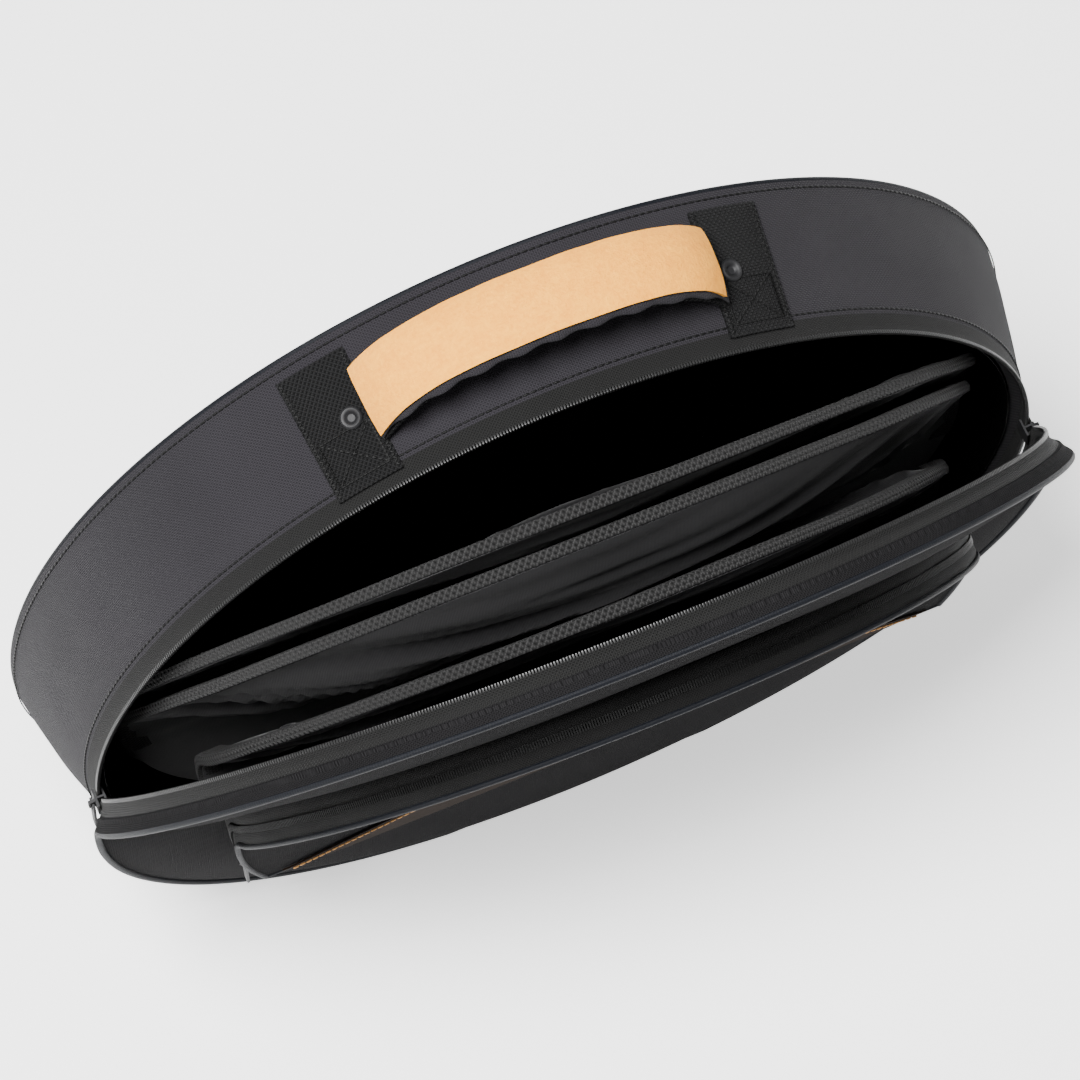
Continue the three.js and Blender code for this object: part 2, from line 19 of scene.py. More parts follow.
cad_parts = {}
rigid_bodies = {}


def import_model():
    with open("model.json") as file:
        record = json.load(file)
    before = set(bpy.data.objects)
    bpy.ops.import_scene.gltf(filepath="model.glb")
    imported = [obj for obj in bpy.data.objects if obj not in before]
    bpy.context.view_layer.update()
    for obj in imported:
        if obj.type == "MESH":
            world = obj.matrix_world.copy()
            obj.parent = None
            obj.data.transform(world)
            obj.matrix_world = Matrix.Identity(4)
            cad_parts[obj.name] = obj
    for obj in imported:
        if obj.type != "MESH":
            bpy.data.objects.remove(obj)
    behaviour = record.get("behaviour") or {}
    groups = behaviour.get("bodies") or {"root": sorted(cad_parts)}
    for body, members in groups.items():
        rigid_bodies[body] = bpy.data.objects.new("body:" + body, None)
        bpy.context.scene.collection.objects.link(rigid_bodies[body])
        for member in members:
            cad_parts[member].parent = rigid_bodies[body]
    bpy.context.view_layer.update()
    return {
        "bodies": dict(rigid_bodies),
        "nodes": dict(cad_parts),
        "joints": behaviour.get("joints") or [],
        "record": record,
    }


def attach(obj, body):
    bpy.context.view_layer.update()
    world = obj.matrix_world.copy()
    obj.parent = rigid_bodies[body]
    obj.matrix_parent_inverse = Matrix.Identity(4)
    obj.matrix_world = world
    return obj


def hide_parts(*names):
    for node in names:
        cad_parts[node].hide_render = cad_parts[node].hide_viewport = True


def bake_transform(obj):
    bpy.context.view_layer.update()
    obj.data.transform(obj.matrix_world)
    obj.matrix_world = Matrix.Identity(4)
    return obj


LOG = logging.getLogger("cymbal_bag")
Place = Callable[[np.ndarray, np.ndarray], np.ndarray]
MM = 0.001
TAU = 2 * math.pi
MERGE = 2e-5  # points nearer to each other than this become one
TOOTH = (0.0022, 0.0011, 0.0020)  # one tooth of the main zipper: across, along and up
TOOTH_MIDDLE = 0.0024  # from the zipper plane to a tooth's middle
TOOTH_SINK = 0.0003  # how far the teeth sit inside the zipper's edge
TAPE_EDGE = 0.0034  # from the zipper plane to a tape's free edge
LID_REACH = 0.018  # how far cloth bends either side of the lid's fold
POCKET_REACH = 0.024  # the same for the pocket, which lies further out
SHARP = 1e-4  # reach of a fold that turns its points rigidly
LINING, TAPE, CANVAS, WEBBING = 0.0006, 0.0012, 0.0014, 0.0018  # thickness of each cloth


class Way(Enum):
    """Which side of a thin sheet its thickness goes to."""

    INWARD = -1.0
    MIDDLE = 0.0
    OUTWARD = 1.0


def smooth(t: np.ndarray) -> np.ndarray:
    """Ease from 0 to 1."""
    t = np.clip(t, 0, 1)
    return t * t * (3 - 2 * t)


def ripple(points: np.ndarray, size: float, seed: float, stretch: tuple = (1, 1, 1)) -> np.ndarray:
    """Smooth noise, -1 to 1, at each point.

    Args:
        points: places in metres.
        size: length of one swell in metres.
        seed: shifts the pattern.
        stretch: how much longer the swells are along each axis.

    Returns:
        One value for each point.
    """
    scale = 1 / (size * np.array(stretch))
    return np.array([noise.noise(Vector(p * scale) + Vector((seed, seed * 0.7, 0))) for p in points])


# ---------------------------------------------------------------------------------------------
# The bag's form
# ---------------------------------------------------------------------------------------------
@dataclass(frozen=True)
class BagForm:
    """Sizes of the bag and the formulas of its surfaces.

    Lengths are in metres and depths are measured from the zipper plane. `flat` is the straight strip
    beside the zipper, `sag` the share of a half circle that the slack lower half keeps, `fold` the
    height of the lid's hinge, and `swell` the dome of the front.
    """

    zip_radius: float = 0.290
    back_radius: float = 0.309
    front_radius: float = 0.300
    depth: float = 0.088
    lip: float = 0.018
    lip_bottom: float = 0.008
    flat: float = 0.007
    sag: float = 0.85
    centre: float = 0.244
    fold: float = 0.261
    open_angle: float = math.radians(25)
    swell: float = 0.018
    swell_power: float = 8
    zip_y: float = -0.044
    pocket_radius: float = 0.228
    pocket_depth: float = 0.0212
    pocket_bulge: float = 0.002
    pocket_drop: float = 0.066

    def outline(self, angle: np.ndarray, radius: np.ndarray, inset: float = 0) -> tuple:
        """Outline of the bag: round above, slack below and flat on the floor.

        Args:
            angle: angle round the disc, at each point.
            radius: radius, at each point.
            inset: how far inside the outline.

        Returns:
            The x and z of each point.
        """
        r = radius - inset
        s = np.sin(angle)
        z = self.centre + r * s * np.where(s < 0, self.sag, 1.0)
        return r * np.cos(angle), np.maximum(z, inset)

    def gusset_radius(self, y: np.ndarray) -> np.ndarray:
        """Outer radius of the gusset at a depth behind the zipper."""
        flare = np.maximum(0, y - self.flat) / (self.depth - self.flat)
        return self.zip_radius + (self.back_radius - self.zip_radius) * flare

    def rim(self, z: np.ndarray) -> np.ndarray:
        """Distance of the front rim before the zipper plane."""
        fall = np.maximum(0, self.fold - z) / self.fold
        return self.lip + (self.lip_bottom - self.lip) * fall

    def lip_radius(self, y: np.ndarray, z: np.ndarray) -> np.ndarray:
        """Outer radius of the narrow band between zipper and front rim.

        Args:
            y: depth behind the zipper plane.
            z: height of each point.

        Returns:
            The radius at each point.
        """
        depth = self.rim(z)
        flat = np.minimum(self.flat, depth / 2)
        flare = np.maximum(0, -y - flat) / (depth - flat)
        return self.zip_radius + (self.front_radius - self.zip_radius) * flare

    def dome(self, x: np.ndarray, z: np.ndarray) -> np.ndarray:
        """Swell of the front panel beyond its rim.

        Args:
            x: x of each point.
            z: height of each point.

        Returns:
            The swell at each point, in metres.
        """
        h = z - self.centre
        rho = np.hypot(x, np.where(h < 0, h / self.sag, h)) / self.front_radius
        return self.swell * (1 - np.minimum(rho, 1) ** self.swell_power)

    def turn(self, p: np.ndarray, y: float, angle: float, soft: float) -> np.ndarray:
        """Folds what is above the fold forward about (y, fold), bending over `soft` either side.

        Args:
            p: points as rows of x, y and z.
            y: depth of the fold's axis.
            angle: the whole turn, in radians.
            soft: how far the bend reaches either side.

        Returns:
            The folded points.
        """
        w = smooth((p[:, 2] - self.fold + soft) / (2 * soft)) * angle
        dy, dz = p[:, 1] - y, p[:, 2] - self.fold
        out = p.copy()
        out[:, 1] = y + dy * np.cos(w) - dz * np.sin(w)
        out[:, 2] = self.fold + dy * np.sin(w) + dz * np.cos(w)
        return out

    def open_lid(self, p: np.ndarray, soft: float = LID_REACH) -> np.ndarray:
        """Places of the shut bag's points with the lid folded open."""
        return self.turn(p, -self.lip, self.open_angle, soft)

    def seat(self, p: np.ndarray) -> np.ndarray:
        """Moves points from the zipper plane's axes to the frame's."""
        return p + np.array([0, self.zip_y, 0])


FORM = BagForm()


def points(x: np.ndarray, y: np.ndarray, z: np.ndarray) -> np.ndarray:
    """Columns of coordinates as one array of points."""
    return np.stack(np.broadcast_arrays(x, y, z), 1).astype(float)


# ---------------------------------------------------------------------------------------------
# Shader groups and finishes
# ---------------------------------------------------------------------------------------------
class Wire:
    """Short calls for building node trees."""

    def __init__(self, tree: bpy.types.NodeTree) -> None:
        """Keeps the node tree that the calls add to."""
        self.tree = tree

    def node(self, kind: str, **values: object) -> bpy.types.Node:
        """Adds a node and sets its properties.

        Args:
            kind: the node's type.
            values: properties to set.

        Returns:
            The new node.
        """
        made = self.tree.nodes.new(kind)
        for key, value in values.items():
            setattr(made, key, value)
        return made

    def link(self, a: bpy.types.NodeSocket, b: bpy.types.NodeSocket) -> None:
        """Links an output to an input."""
        self.tree.links.new(a, b)

    def math(self, operation: str, a: object, b: object = None) -> bpy.types.NodeSocket:
        """Adds a Math node over sockets or numbers and returns its output.

        Args:
            operation: the node's operation.
            a: first socket or number.
            b: second, if there is one.

        Returns:
            The node's output socket.
        """
        made = self.node("ShaderNodeMath", operation=operation)
        for slot, value in zip(made.inputs, (a, b)):
            if value is None:
                continue
            if isinstance(value, bpy.types.NodeSocket):
                self.link(value, slot)
            else:
                slot.default_value = value
        return made.outputs[0]


def group(name: str, inputs: dict, outputs: dict) -> tuple:
    """Starts a shader group with named sockets and returns it with its in and out nodes.

    Args:
        name: the group's name.
        inputs: each input socket with its type and value.
        outputs: each output socket with its type.

    Returns:
        The tree, its wiring calls, and its in and out nodes.
    """
    tree = bpy.data.node_groups.new(name, "ShaderNodeTree")
    for title, (kind, value) in inputs.items():
        made = tree.interface.new_socket(name=title, in_out="INPUT", socket_type=kind)
        if value is not None:
            made.default_value = value
    for title, kind in outputs.items():
        tree.interface.new_socket(name=title, in_out="OUTPUT", socket_type=kind)
    wire = Wire(tree)
    return tree, wire, wire.node("NodeGroupInput"), wire.node("NodeGroupOutput")


def build_weave_group() -> bpy.types.NodeTree:
    """Plain weave on a UV map in metres: height of the crossing threads and a mask of the gaps.

    Returns:
        The finished group.
    """
    inputs = {
        "Vector": ("NodeSocketVector", None),
        "Pitch": ("NodeSocketFloat", 0.0008),
        "Ribs": ("NodeSocketFloat", 0.0),
    }
    outputs = {"Height": "NodeSocketFloat", "Gap": "NodeSocketFloat"}
    tree, w, enter, leave = group("ThreadWeave", inputs, outputs)
    split = w.node("ShaderNodeSeparateXYZ")
    w.link(enter.outputs["Vector"], split.inputs[0])
    rate = w.math("DIVIDE", math.pi, enter.outputs["Pitch"])
    along = w.math("SINE", w.math("MULTIPLY", split.outputs[0], rate))
    across = w.math("SINE", w.math("MULTIPLY", split.outputs[1], rate))
    cross = w.math("ABSOLUTE", w.math("MULTIPLY", along, across))
    slant = w.math("ADD", split.outputs[0], split.outputs[1])
    rib = w.math("ABSOLUTE", w.math("SINE", w.math("MULTIPLY", slant, w.math("MULTIPLY", rate, 0.5))))
    ribbed = w.math("MULTIPLY", rib, enter.outputs["Ribs"])
    height = w.math("ADD", cross, ribbed)
    w.link(height, leave.inputs["Height"])
    w.link(w.math("SUBTRACT", 1.0, w.math("MINIMUM", height, 1.0)), leave.inputs["Gap"])
    return tree


def build_wear_group() -> bpy.types.NodeTree:
    """Soft cloudy variation and lint in object space, for colour and roughness.

    Returns:
        The finished group.
    """
    inputs = {"Scale": ("NodeSocketFloat", 14.0), "Lint": ("NodeSocketFloat", 0.3)}
    outputs = {"Cloud": "NodeSocketFloat", "Specks": "NodeSocketFloat"}
    tree, w, enter, leave = group("ClothWear", inputs, outputs)
    place = w.node("ShaderNodeTexCoord")
    cloud = w.node("ShaderNodeTexNoise")
    cloud.inputs["Detail"].default_value = 4
    w.link(place.outputs["Object"], cloud.inputs["Vector"])
    w.link(enter.outputs["Scale"], cloud.inputs["Scale"])
    specks = w.node("ShaderNodeTexNoise")
    specks.inputs["Scale"].default_value = 900
    specks.inputs["Detail"].default_value = 2
    w.link(place.outputs["Object"], specks.inputs["Vector"])
    sharp = w.math("MAXIMUM", w.math("SUBTRACT", specks.outputs["Fac"], 0.62), 0.0)
    w.link(cloud.outputs["Fac"], leave.inputs["Cloud"])
    w.link(w.math("MULTIPLY", sharp, enter.outputs["Lint"]), leave.inputs["Specks"])
    return tree


@dataclass(frozen=True)
class Cloth:
    """A woven, knitted or napped finish.

    `pitch` is the distance between threads in metres, `ribs` the strength of a slanting rib, `depth`
    the relief in metres, `nap` the share of short fuzz in place of threads, and `cloud` the scale of
    the slow variation in colour.
    """

    name: str
    dark: tuple
    light: tuple
    roughness: float = 0.8
    sheen: float = 0.3
    pitch: float = 0.0008
    ribs: float = 0.0
    bump: float = 0.25
    depth: float = 0.0003
    nap: float = 0.0
    lint: float = 0.3
    cloud: float = 14.0
    specular: float = 0.12

    def build(self, weave: bpy.types.NodeTree, wear: bpy.types.NodeTree) -> bpy.types.Material:
        """Makes the material.

        Args:
            weave: the thread group.
            wear: the cloudy variation group.

        Returns:
            The finished material.
        """
        material = bpy.data.materials.new(self.name)
        material.use_nodes = True
        w = Wire(material.node_tree)
        shader = material.node_tree.nodes["Principled BSDF"]
        uv = w.node("ShaderNodeUVMap", uv_map="UVMap")
        threads = w.node("ShaderNodeGroup", node_tree=weave)
        threads.inputs["Pitch"].default_value = self.pitch
        threads.inputs["Ribs"].default_value = self.ribs
        w.link(uv.outputs[0], threads.inputs["Vector"])
        clouds = w.node("ShaderNodeGroup", node_tree=wear)
        clouds.inputs["Scale"].default_value = self.cloud
        clouds.inputs["Lint"].default_value = self.lint
        mix = w.node("ShaderNodeMix", data_type="RGBA")
        mix.inputs["A"].default_value = (*self.dark, 1)
        mix.inputs["B"].default_value = (*self.light, 1)
        # the threads' height also sets the colour: partly the weave's own pattern, partly painted shade in
        # the gaps between threads; cloud and lint add the cloth's own uneven tone
        shade = w.math("MULTIPLY", threads.outputs["Height"], 0.75 * (1 - self.nap))
        shade = w.math("ADD", shade, w.math("MULTIPLY", clouds.outputs["Cloud"], 0.5))
        shade = w.math("ADD", shade, w.math("SUBTRACT", clouds.outputs["Specks"], 0.2))
        height = w.math("MULTIPLY", threads.outputs["Height"], 1 - self.nap)
        if self.nap:
            fuzz = w.node("ShaderNodeTexNoise")
            fuzz.inputs["Scale"].default_value = 420
            fuzz.inputs["Detail"].default_value = 6
            fuzz.inputs["Roughness"].default_value = 0.7
            place = w.node("ShaderNodeTexCoord")
            w.link(place.outputs["Object"], fuzz.inputs["Vector"])
            height = w.math("ADD", height, w.math("MULTIPLY", fuzz.outputs["Fac"], self.nap * 2))
            shade = w.math("ADD", shade, w.math("MULTIPLY", fuzz.outputs["Fac"], self.nap))
        w.link(w.math("MINIMUM", w.math("MAXIMUM", shade, 0.0), 1.0), mix.inputs["Factor"])
        w.link(mix.outputs["Result"], shader.inputs["Base Color"])
        rough = w.math("ADD", w.math("MULTIPLY", clouds.outputs["Cloud"], 0.15), self.roughness - 0.08)
        w.link(rough, shader.inputs["Roughness"])
        bump = w.node("ShaderNodeBump")
        bump.inputs["Strength"].default_value = self.bump
        bump.inputs["Distance"].default_value = self.depth
        w.link(height, bump.inputs["Height"])
        w.link(bump.outputs[0], shader.inputs["Normal"])
        shader.inputs["Sheen Weight"].default_value = self.sheen
        shader.inputs["Sheen Roughness"].default_value = 0.45
        shader.inputs["Specular IOR Level"].default_value = self.specular
        return material


@dataclass(frozen=True)
class Hard:
    """A moulded plastic or painted metal finish."""

    name: str
    color: tuple
    roughness: float
    metallic: float = 0.0
    grain: float = 300.0

    def build(self, wear: bpy.types.NodeTree) -> bpy.types.Material:
        """Makes the material with a faint grain in its roughness and normal.

        Args:
            wear: the cloudy variation group.

        Returns:
            The finished material.
        """
        material = bpy.data.materials.new(self.name)
        material.use_nodes = True
        w = Wire(material.node_tree)
        shader = material.node_tree.nodes["Principled BSDF"]
        shader.inputs["Base Color"].default_value = (*self.color, 1)
        shader.inputs["Metallic"].default_value = self.metallic
        clouds = w.node("ShaderNodeGroup", node_tree=wear)
        clouds.inputs["Scale"].default_value = self.grain
        rough = w.math("MULTIPLY", clouds.outputs["Cloud"], 0.25)
        w.link(w.math("ADD", rough, self.roughness - 0.12), shader.inputs["Roughness"])
        bump = w.node("ShaderNodeBump")
        bump.inputs["Strength"].default_value = 0.15
        bump.inputs["Distance"].default_value = 0.0001
        w.link(clouds.outputs["Cloud"], bump.inputs["Height"])
        w.link(bump.outputs[0], shader.inputs["Normal"])
        return material


class Finishes:
    """Every material of the bag, built once."""

    def __init__(self) -> None:
        """Builds the shader groups and every material."""
        weave, wear = build_weave_group(), build_wear_group()
        cloths = [
            Cloth("canvas", (0.0044, 0.0040, 0.0050), (0.0215, 0.0198, 0.0235), 0.8, 0.04, pitch=0.0012,
                  ribs=0.6, bump=0.9, depth=0.0004),
            # the next finish is the gusset's canvas painted about half as bright: painted shade for the front
            # panel, lip and pocket, which face away from the light
            Cloth("canvas_painted_shade", (0.0022, 0.0021, 0.0023), (0.0125, 0.0121, 0.0128), 0.92, 0.0, pitch=0.0012,
                  ribs=0.6, bump=0.9, depth=0.0004, specular=0.05),
            Cloth("zip_tape", (0.0016, 0.0016, 0.0016), (0.0105, 0.0104, 0.0102), 0.75, 0.02, pitch=0.0011,
                  ribs=0.8, bump=0.9, depth=0.0004),
            Cloth("webbing", (0.0005, 0.0005, 0.0005), (0.0070, 0.0070, 0.0073), 0.6, 0.02, pitch=0.0015,
                  ribs=1.0, bump=1.0, depth=0.0008),
            Cloth("binding", (0.0016, 0.0016, 0.0016), (0.0180, 0.0177, 0.0177), 0.6, 0.03, pitch=0.0017,
                  ribs=1.2, bump=1.0, depth=0.0007),
            Cloth("lining", (0.0065, 0.0063, 0.0068), (0.0350, 0.0338, 0.0358), 0.42, 0.06, bump=0.3),
            # the next finish is the lining painted near black: painted shade for the deep inside of the
            # gusset and back panel, where little light reaches
            Cloth("lining_painted_shade", (0.0007, 0.0007, 0.0007), (0.0032, 0.0032, 0.0032), 0.28, 0.0, bump=0.2,
                  specular=0.5),
            Cloth("suede", (0.68, 0.205, 0.010), (1.0, 0.46, 0.040), 0.95, 0.06, pitch=0.0005, bump=0.7,
                  depth=0.0009, nap=1.0, lint=2.0, cloud=110.0, specular=0.05),
            Cloth("accent", (0.0060, 0.0034, 0.0022), (0.0190, 0.0115, 0.0072), 0.95, 0.03, pitch=0.0005,
                  bump=0.4, nap=0.8, cloud=45.0, specular=0.06),
            Cloth("piping", (0.0020, 0.0024, 0.0038), (0.0062, 0.0074, 0.0108), 0.55, 0.02, pitch=0.0009,
                  bump=0.3),
            Cloth("thread", (0.0016, 0.0016, 0.0016), (0.0080, 0.0080, 0.0080), 0.5, 0.03, pitch=0.0003,
                  bump=0.2),
            Cloth("tan_thread", (0.40, 0.19, 0.055), (0.62, 0.33, 0.11), 0.6, 0.1, pitch=0.0003, bump=0.2),
        ]
        self.made = {c.name: c.build(weave, wear) for c in cloths}
        hards = [Hard("coil", (0.013, 0.013, 0.013), 0.33), Hard("metal", (0.006, 0.006, 0.007), 0.6, 0.2)]
        self.made.update({h.name: h.build(wear) for h in hards})

    def dress(self, obj: bpy.types.Object, name: str) -> bpy.types.Object:
        """Gives an object one finish.

        Args:
            obj: the object.
            name: the finish's name.

        Returns:
            The same object.
        """
        obj.data.materials.clear()
        obj.data.materials.append(self.made[name])
        return obj


# ---------------------------------------------------------------------------------------------
# Modelling helpers
# ---------------------------------------------------------------------------------------------
def calm() -> None:
    """Leaves edit mode and deselects everything."""
    if bpy.context.object and bpy.context.object.mode != "OBJECT":
        bpy.ops.object.mode_set(mode="OBJECT")
    bpy.ops.object.select_all(action="DESELECT")


def apply_modifier(obj: bpy.types.Object, kind: str, **values: object) -> None:
    """Adds one modifier with the given settings and applies it.

    Args:
        obj: the object.
        kind: the modifier's type.
        values: its settings.
    """
    calm()
    obj.select_set(True)
    bpy.context.view_layer.objects.active = obj
    modifier = obj.modifiers.new(kind.title(), kind)
    for key, value in values.items():
        setattr(modifier, key, value)
    bpy.ops.object.modifier_apply(modifier=modifier.name)


def smooth_shade(obj: bpy.types.Object, angle: float = 40) -> None:
    """Shades smooth with creases sharper than `angle` degrees kept.

    Args:
        obj: the object.
        angle: sharpest crease that is smoothed, in degrees.
    """
    calm()
    obj.select_set(True)
    bpy.context.view_layer.objects.active = obj
    bpy.ops.object.shade_smooth_by_angle(angle=math.radians(angle))


def tailored(name: str, nu: int, nv: int, place: Place, size: tuple, closed: bool = False,
             thick: float = 0.0, way: Way = Way.INWARD, out: Callable | None = None) -> bpy.types.Object:
    """A sheet of cloth: a grid shaped by a formula, joined into a ring where closed, then thickened.

    Args:
        name: the piece's name.
        nu: steps along.
        nv: steps across.
        place: formula from arrays u, v (0 to 1) to points of the zipper-plane axes.
        size: length and width in metres, for the weave.
        closed: joins the first and last column.
        thick: thickness in metres.
        way: which side the thickness goes to.
        out: formula from points to a direction that faces outwards.

    Returns:
        The finished mesh object, at the origin.
    """
    calm()
    bpy.ops.mesh.primitive_grid_add(x_subdivisions=nu, y_subdivisions=nv, size=1)
    obj = bpy.context.object
    obj.name = obj.data.name = name
    mesh = obj.data
    flat = np.zeros(len(mesh.vertices) * 3)
    mesh.vertices.foreach_get("co", flat)
    flat = flat.reshape(-1, 3)
    u, v = np.clip(flat[:, 0] + 0.5, 0, 1), np.clip(flat[:, 1] + 0.5, 0, 1)
    if not mesh.uv_layers:
        mesh.uv_layers.new(name="UVMap")
    mesh.uv_layers[0].name = "UVMap"
    corner = np.zeros(len(mesh.loops), int)
    mesh.loops.foreach_get("vertex_index", corner)
    uv = np.stack([u[corner] * size[0], v[corner] * size[1]], 1)
    mesh.uv_layers[0].data.foreach_set("uv", uv.ravel())
    mesh.vertices.foreach_set("co", FORM.seat(place(u, v)).ravel())
    mesh.update()
    if closed:
        bpy.ops.object.mode_set(mode="EDIT")
        bpy.ops.mesh.select_all(action="SELECT")
        bpy.ops.mesh.remove_doubles(threshold=MERGE)
        bpy.ops.object.mode_set(mode="OBJECT")
    if out is not None:
        face_out(obj, out)
    if thick:
        apply_modifier(obj, "SOLIDIFY", thickness=thick, offset=way.value, use_even_offset=False)
    smooth_shade(obj, 50)
    return obj


def face_out(obj: bpy.types.Object, out: Callable) -> None:
    """Turns a sheet's faces to the side that `out` gives at their centres.

    Args:
        obj: the object.
        out: formula from points to a direction that faces outwards.
    """
    mesh = obj.data
    centre = np.array([p.center for p in mesh.polygons])
    normal = np.array([p.normal for p in mesh.polygons])
    area = np.array([p.area for p in mesh.polygons])
    if np.sum(np.sum(out(centre) * normal, 1) * area) < 0:
        calm()
        bpy.context.view_layer.objects.active = obj
        obj.select_set(True)
        bpy.ops.object.mode_set(mode="EDIT")
        bpy.ops.mesh.select_all(action="SELECT")
        bpy.ops.mesh.flip_normals()
        bpy.ops.object.mode_set(mode="OBJECT")


def radial(p: np.ndarray) -> np.ndarray:
    """Direction away from the disc's axis."""
    return p * np.array([1, 0, 1]) - np.array([0, 0, FORM.centre])


def forward(p: np.ndarray) -> np.ndarray:
    """Direction out of the front."""
    return np.tile([0.0, -1.0, 0.0], (len(p), 1))


def backward(p: np.ndarray) -> np.ndarray:
    """Direction out of the back."""
    return -forward(p)


def bead(name: str, route: np.ndarray, radius: float, closed: bool = False) -> bpy.types.Object:
    """A round cord along a route of points of the zipper-plane axes, made a mesh.

    Args:
        name: the piece's name.
        route: points of its middle line, in order.
        radius: its radius in metres.
        closed: joins its two ends.

    Returns:
        The mesh object.
    """
    calm()
    curve = bpy.data.curves.new(name, "CURVE")
    curve.dimensions = "3D"
    curve.bevel_depth = radius
    curve.bevel_resolution = 3
    curve.use_fill_caps = True
    line = curve.splines.new("POLY")
    places = FORM.seat(route)
    line.points.add(len(places) - 1)
    line.points.foreach_set("co", np.hstack([places, np.ones((len(places), 1))]).ravel())
    line.use_cyclic_u = closed
    obj = bpy.data.objects.new(name, curve)
    bpy.context.scene.collection.objects.link(obj)
    obj.select_set(True)
    bpy.context.view_layer.objects.active = obj
    bpy.ops.object.convert(target="MESH")
    obj = bpy.context.object
    obj.name = name
    if not obj.data.uv_layers:
        obj.data.uv_layers.new(name="UVMap")
    smooth_shade(obj, 60)
    return obj


def row(name: str, places: np.ndarray, along: np.ndarray, up: np.ndarray, size: tuple,
        round_ends: bool = True) -> bpy.types.Object:
    """Many small bevelled blocks in one mesh, such as stitches or zipper teeth.

    Args:
        name: the piece's name.
        places: their centres, in the zipper-plane axes.
        along: direction of each block's length.
        up: direction out of the surface.
        size: length, width and height in metres.
        round_ends: tapers both ends, as a stitch does.

    Returns:
        The mesh object.
    """
    calm()
    bpy.ops.mesh.primitive_cube_add(size=1)
    seed = bpy.context.object
    bpy.ops.object.mode_set(mode="EDIT")
    bpy.ops.mesh.subdivide(number_cuts=1)
    bpy.ops.mesh.select_all(action="SELECT")
    bpy.ops.transform.tosphere(value=0.75 if round_ends else 0.45)
    bpy.ops.object.mode_set(mode="OBJECT")
    shape = np.array([v.co for v in seed.data.vertices]) * np.array(size)
    faces = [tuple(p.vertices) for p in seed.data.polygons]
    bpy.data.objects.remove(seed)
    x = along / np.linalg.norm(along, axis=1)[:, None]
    z = up - np.sum(up * x, 1)[:, None] * x
    z /= np.linalg.norm(z, axis=1)[:, None]
    y = np.cross(z, x)
    frame = np.stack([x, y, z], 1)
    co = FORM.seat(places)[:, None, :] + np.einsum("vk,nkj->nvj", shape, frame)
    count = len(shape)
    mesh = bpy.data.meshes.new(name)
    polys = [tuple(i + n * count for i in f) for n in range(len(places)) for f in faces]
    mesh.from_pydata(co.reshape(-1, 3).tolist(), [], polys)
    mesh.uv_layers.new(name="UVMap")
    obj = bpy.data.objects.new(name, mesh)
    bpy.context.scene.collection.objects.link(obj)
    smooth_shade(obj, 60)
    return obj


def spread(route: np.ndarray, step: float) -> tuple:
    """Even places along a route, and the direction at each.

    Args:
        route: points of the route, in order.
        step: distance between places in metres.

    Returns:
        The places, and the direction of the route at each.
    """
    length = np.concatenate([[0], np.cumsum(np.linalg.norm(np.diff(route, axis=0), axis=1))])
    at = np.arange(step / 2, length[-1], step)
    places = np.stack([np.interp(at, length, route[:, k]) for k in range(3)], 1)
    ahead = np.stack([np.interp(at + step * 0.3, length, route[:, k]) for k in range(3)], 1)
    behind = np.stack([np.interp(at - step * 0.3, length, route[:, k]) for k in range(3)], 1)
    return places, ahead - behind + 1e-9


def finish_piece(obj: bpy.types.Object, look: Finishes, finish: str, slot: str,
                 *nodes: str) -> bpy.types.Object:
    """Dresses a piece, hides the frame nodes it stands for, and logs its face count.

    Args:
        obj: the object.
        look: the finishes.
        finish: the finish's name.
        slot: the record's material slot; not used.
        nodes: frame nodes that the piece stands for.

    Returns:
        The same object.
    """
    look.dress(obj, finish)
    if nodes:
        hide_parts(*nodes)
    LOG.info("%s: %d faces", obj.name, len(obj.data.polygons))
    return obj


def bend(obj: bpy.types.Object) -> None:
    """Bakes a piece's transform into its mesh.

    Args:
        obj: the object.
    """
    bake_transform(obj)


def bend_with_lid(obj: bpy.types.Object) -> bpy.types.Object:
    """Bakes the transform of a piece that crosses the lid's fold."""
    bend(obj)
    return obj


def flat_map(obj: bpy.types.Object) -> None:
    """Lays a panel's weave straight, from its width and height.

    Args:
        obj: the panel.
    """
    mesh = obj.data
    co = np.zeros(len(mesh.vertices) * 3)
    mesh.vertices.foreach_get("co", co)
    co = co.reshape(-1, 3)
    corner = np.zeros(len(mesh.loops), int)
    mesh.loops.foreach_get("vertex_index", corner)
    mesh.uv_layers[0].data.foreach_set("uv", co[corner][:, [0, 2]].ravel())


def close_ends(obj: bpy.types.Object) -> None:
    """Caps the open ends of a tube.

    Args:
        obj: the tube.
    """
    calm()
    obj.select_set(True)
    bpy.context.view_layer.objects.active = obj
    bpy.ops.object.mode_set(mode="EDIT")
    bpy.ops.mesh.select_all(action="DESELECT")
    bpy.ops.mesh.select_mode(type="EDGE")
    bpy.ops.mesh.select_non_manifold(extend=False, use_wire=False, use_boundary=True, use_multi_face=False,
                                     use_non_contiguous=False, use_verts=False)
    bpy.ops.mesh.edge_face_add()
    bpy.ops.mesh.select_all(action="SELECT")
    bpy.ops.mesh.normals_make_consistent(inside=False)
    bpy.ops.object.mode_set(mode="OBJECT")


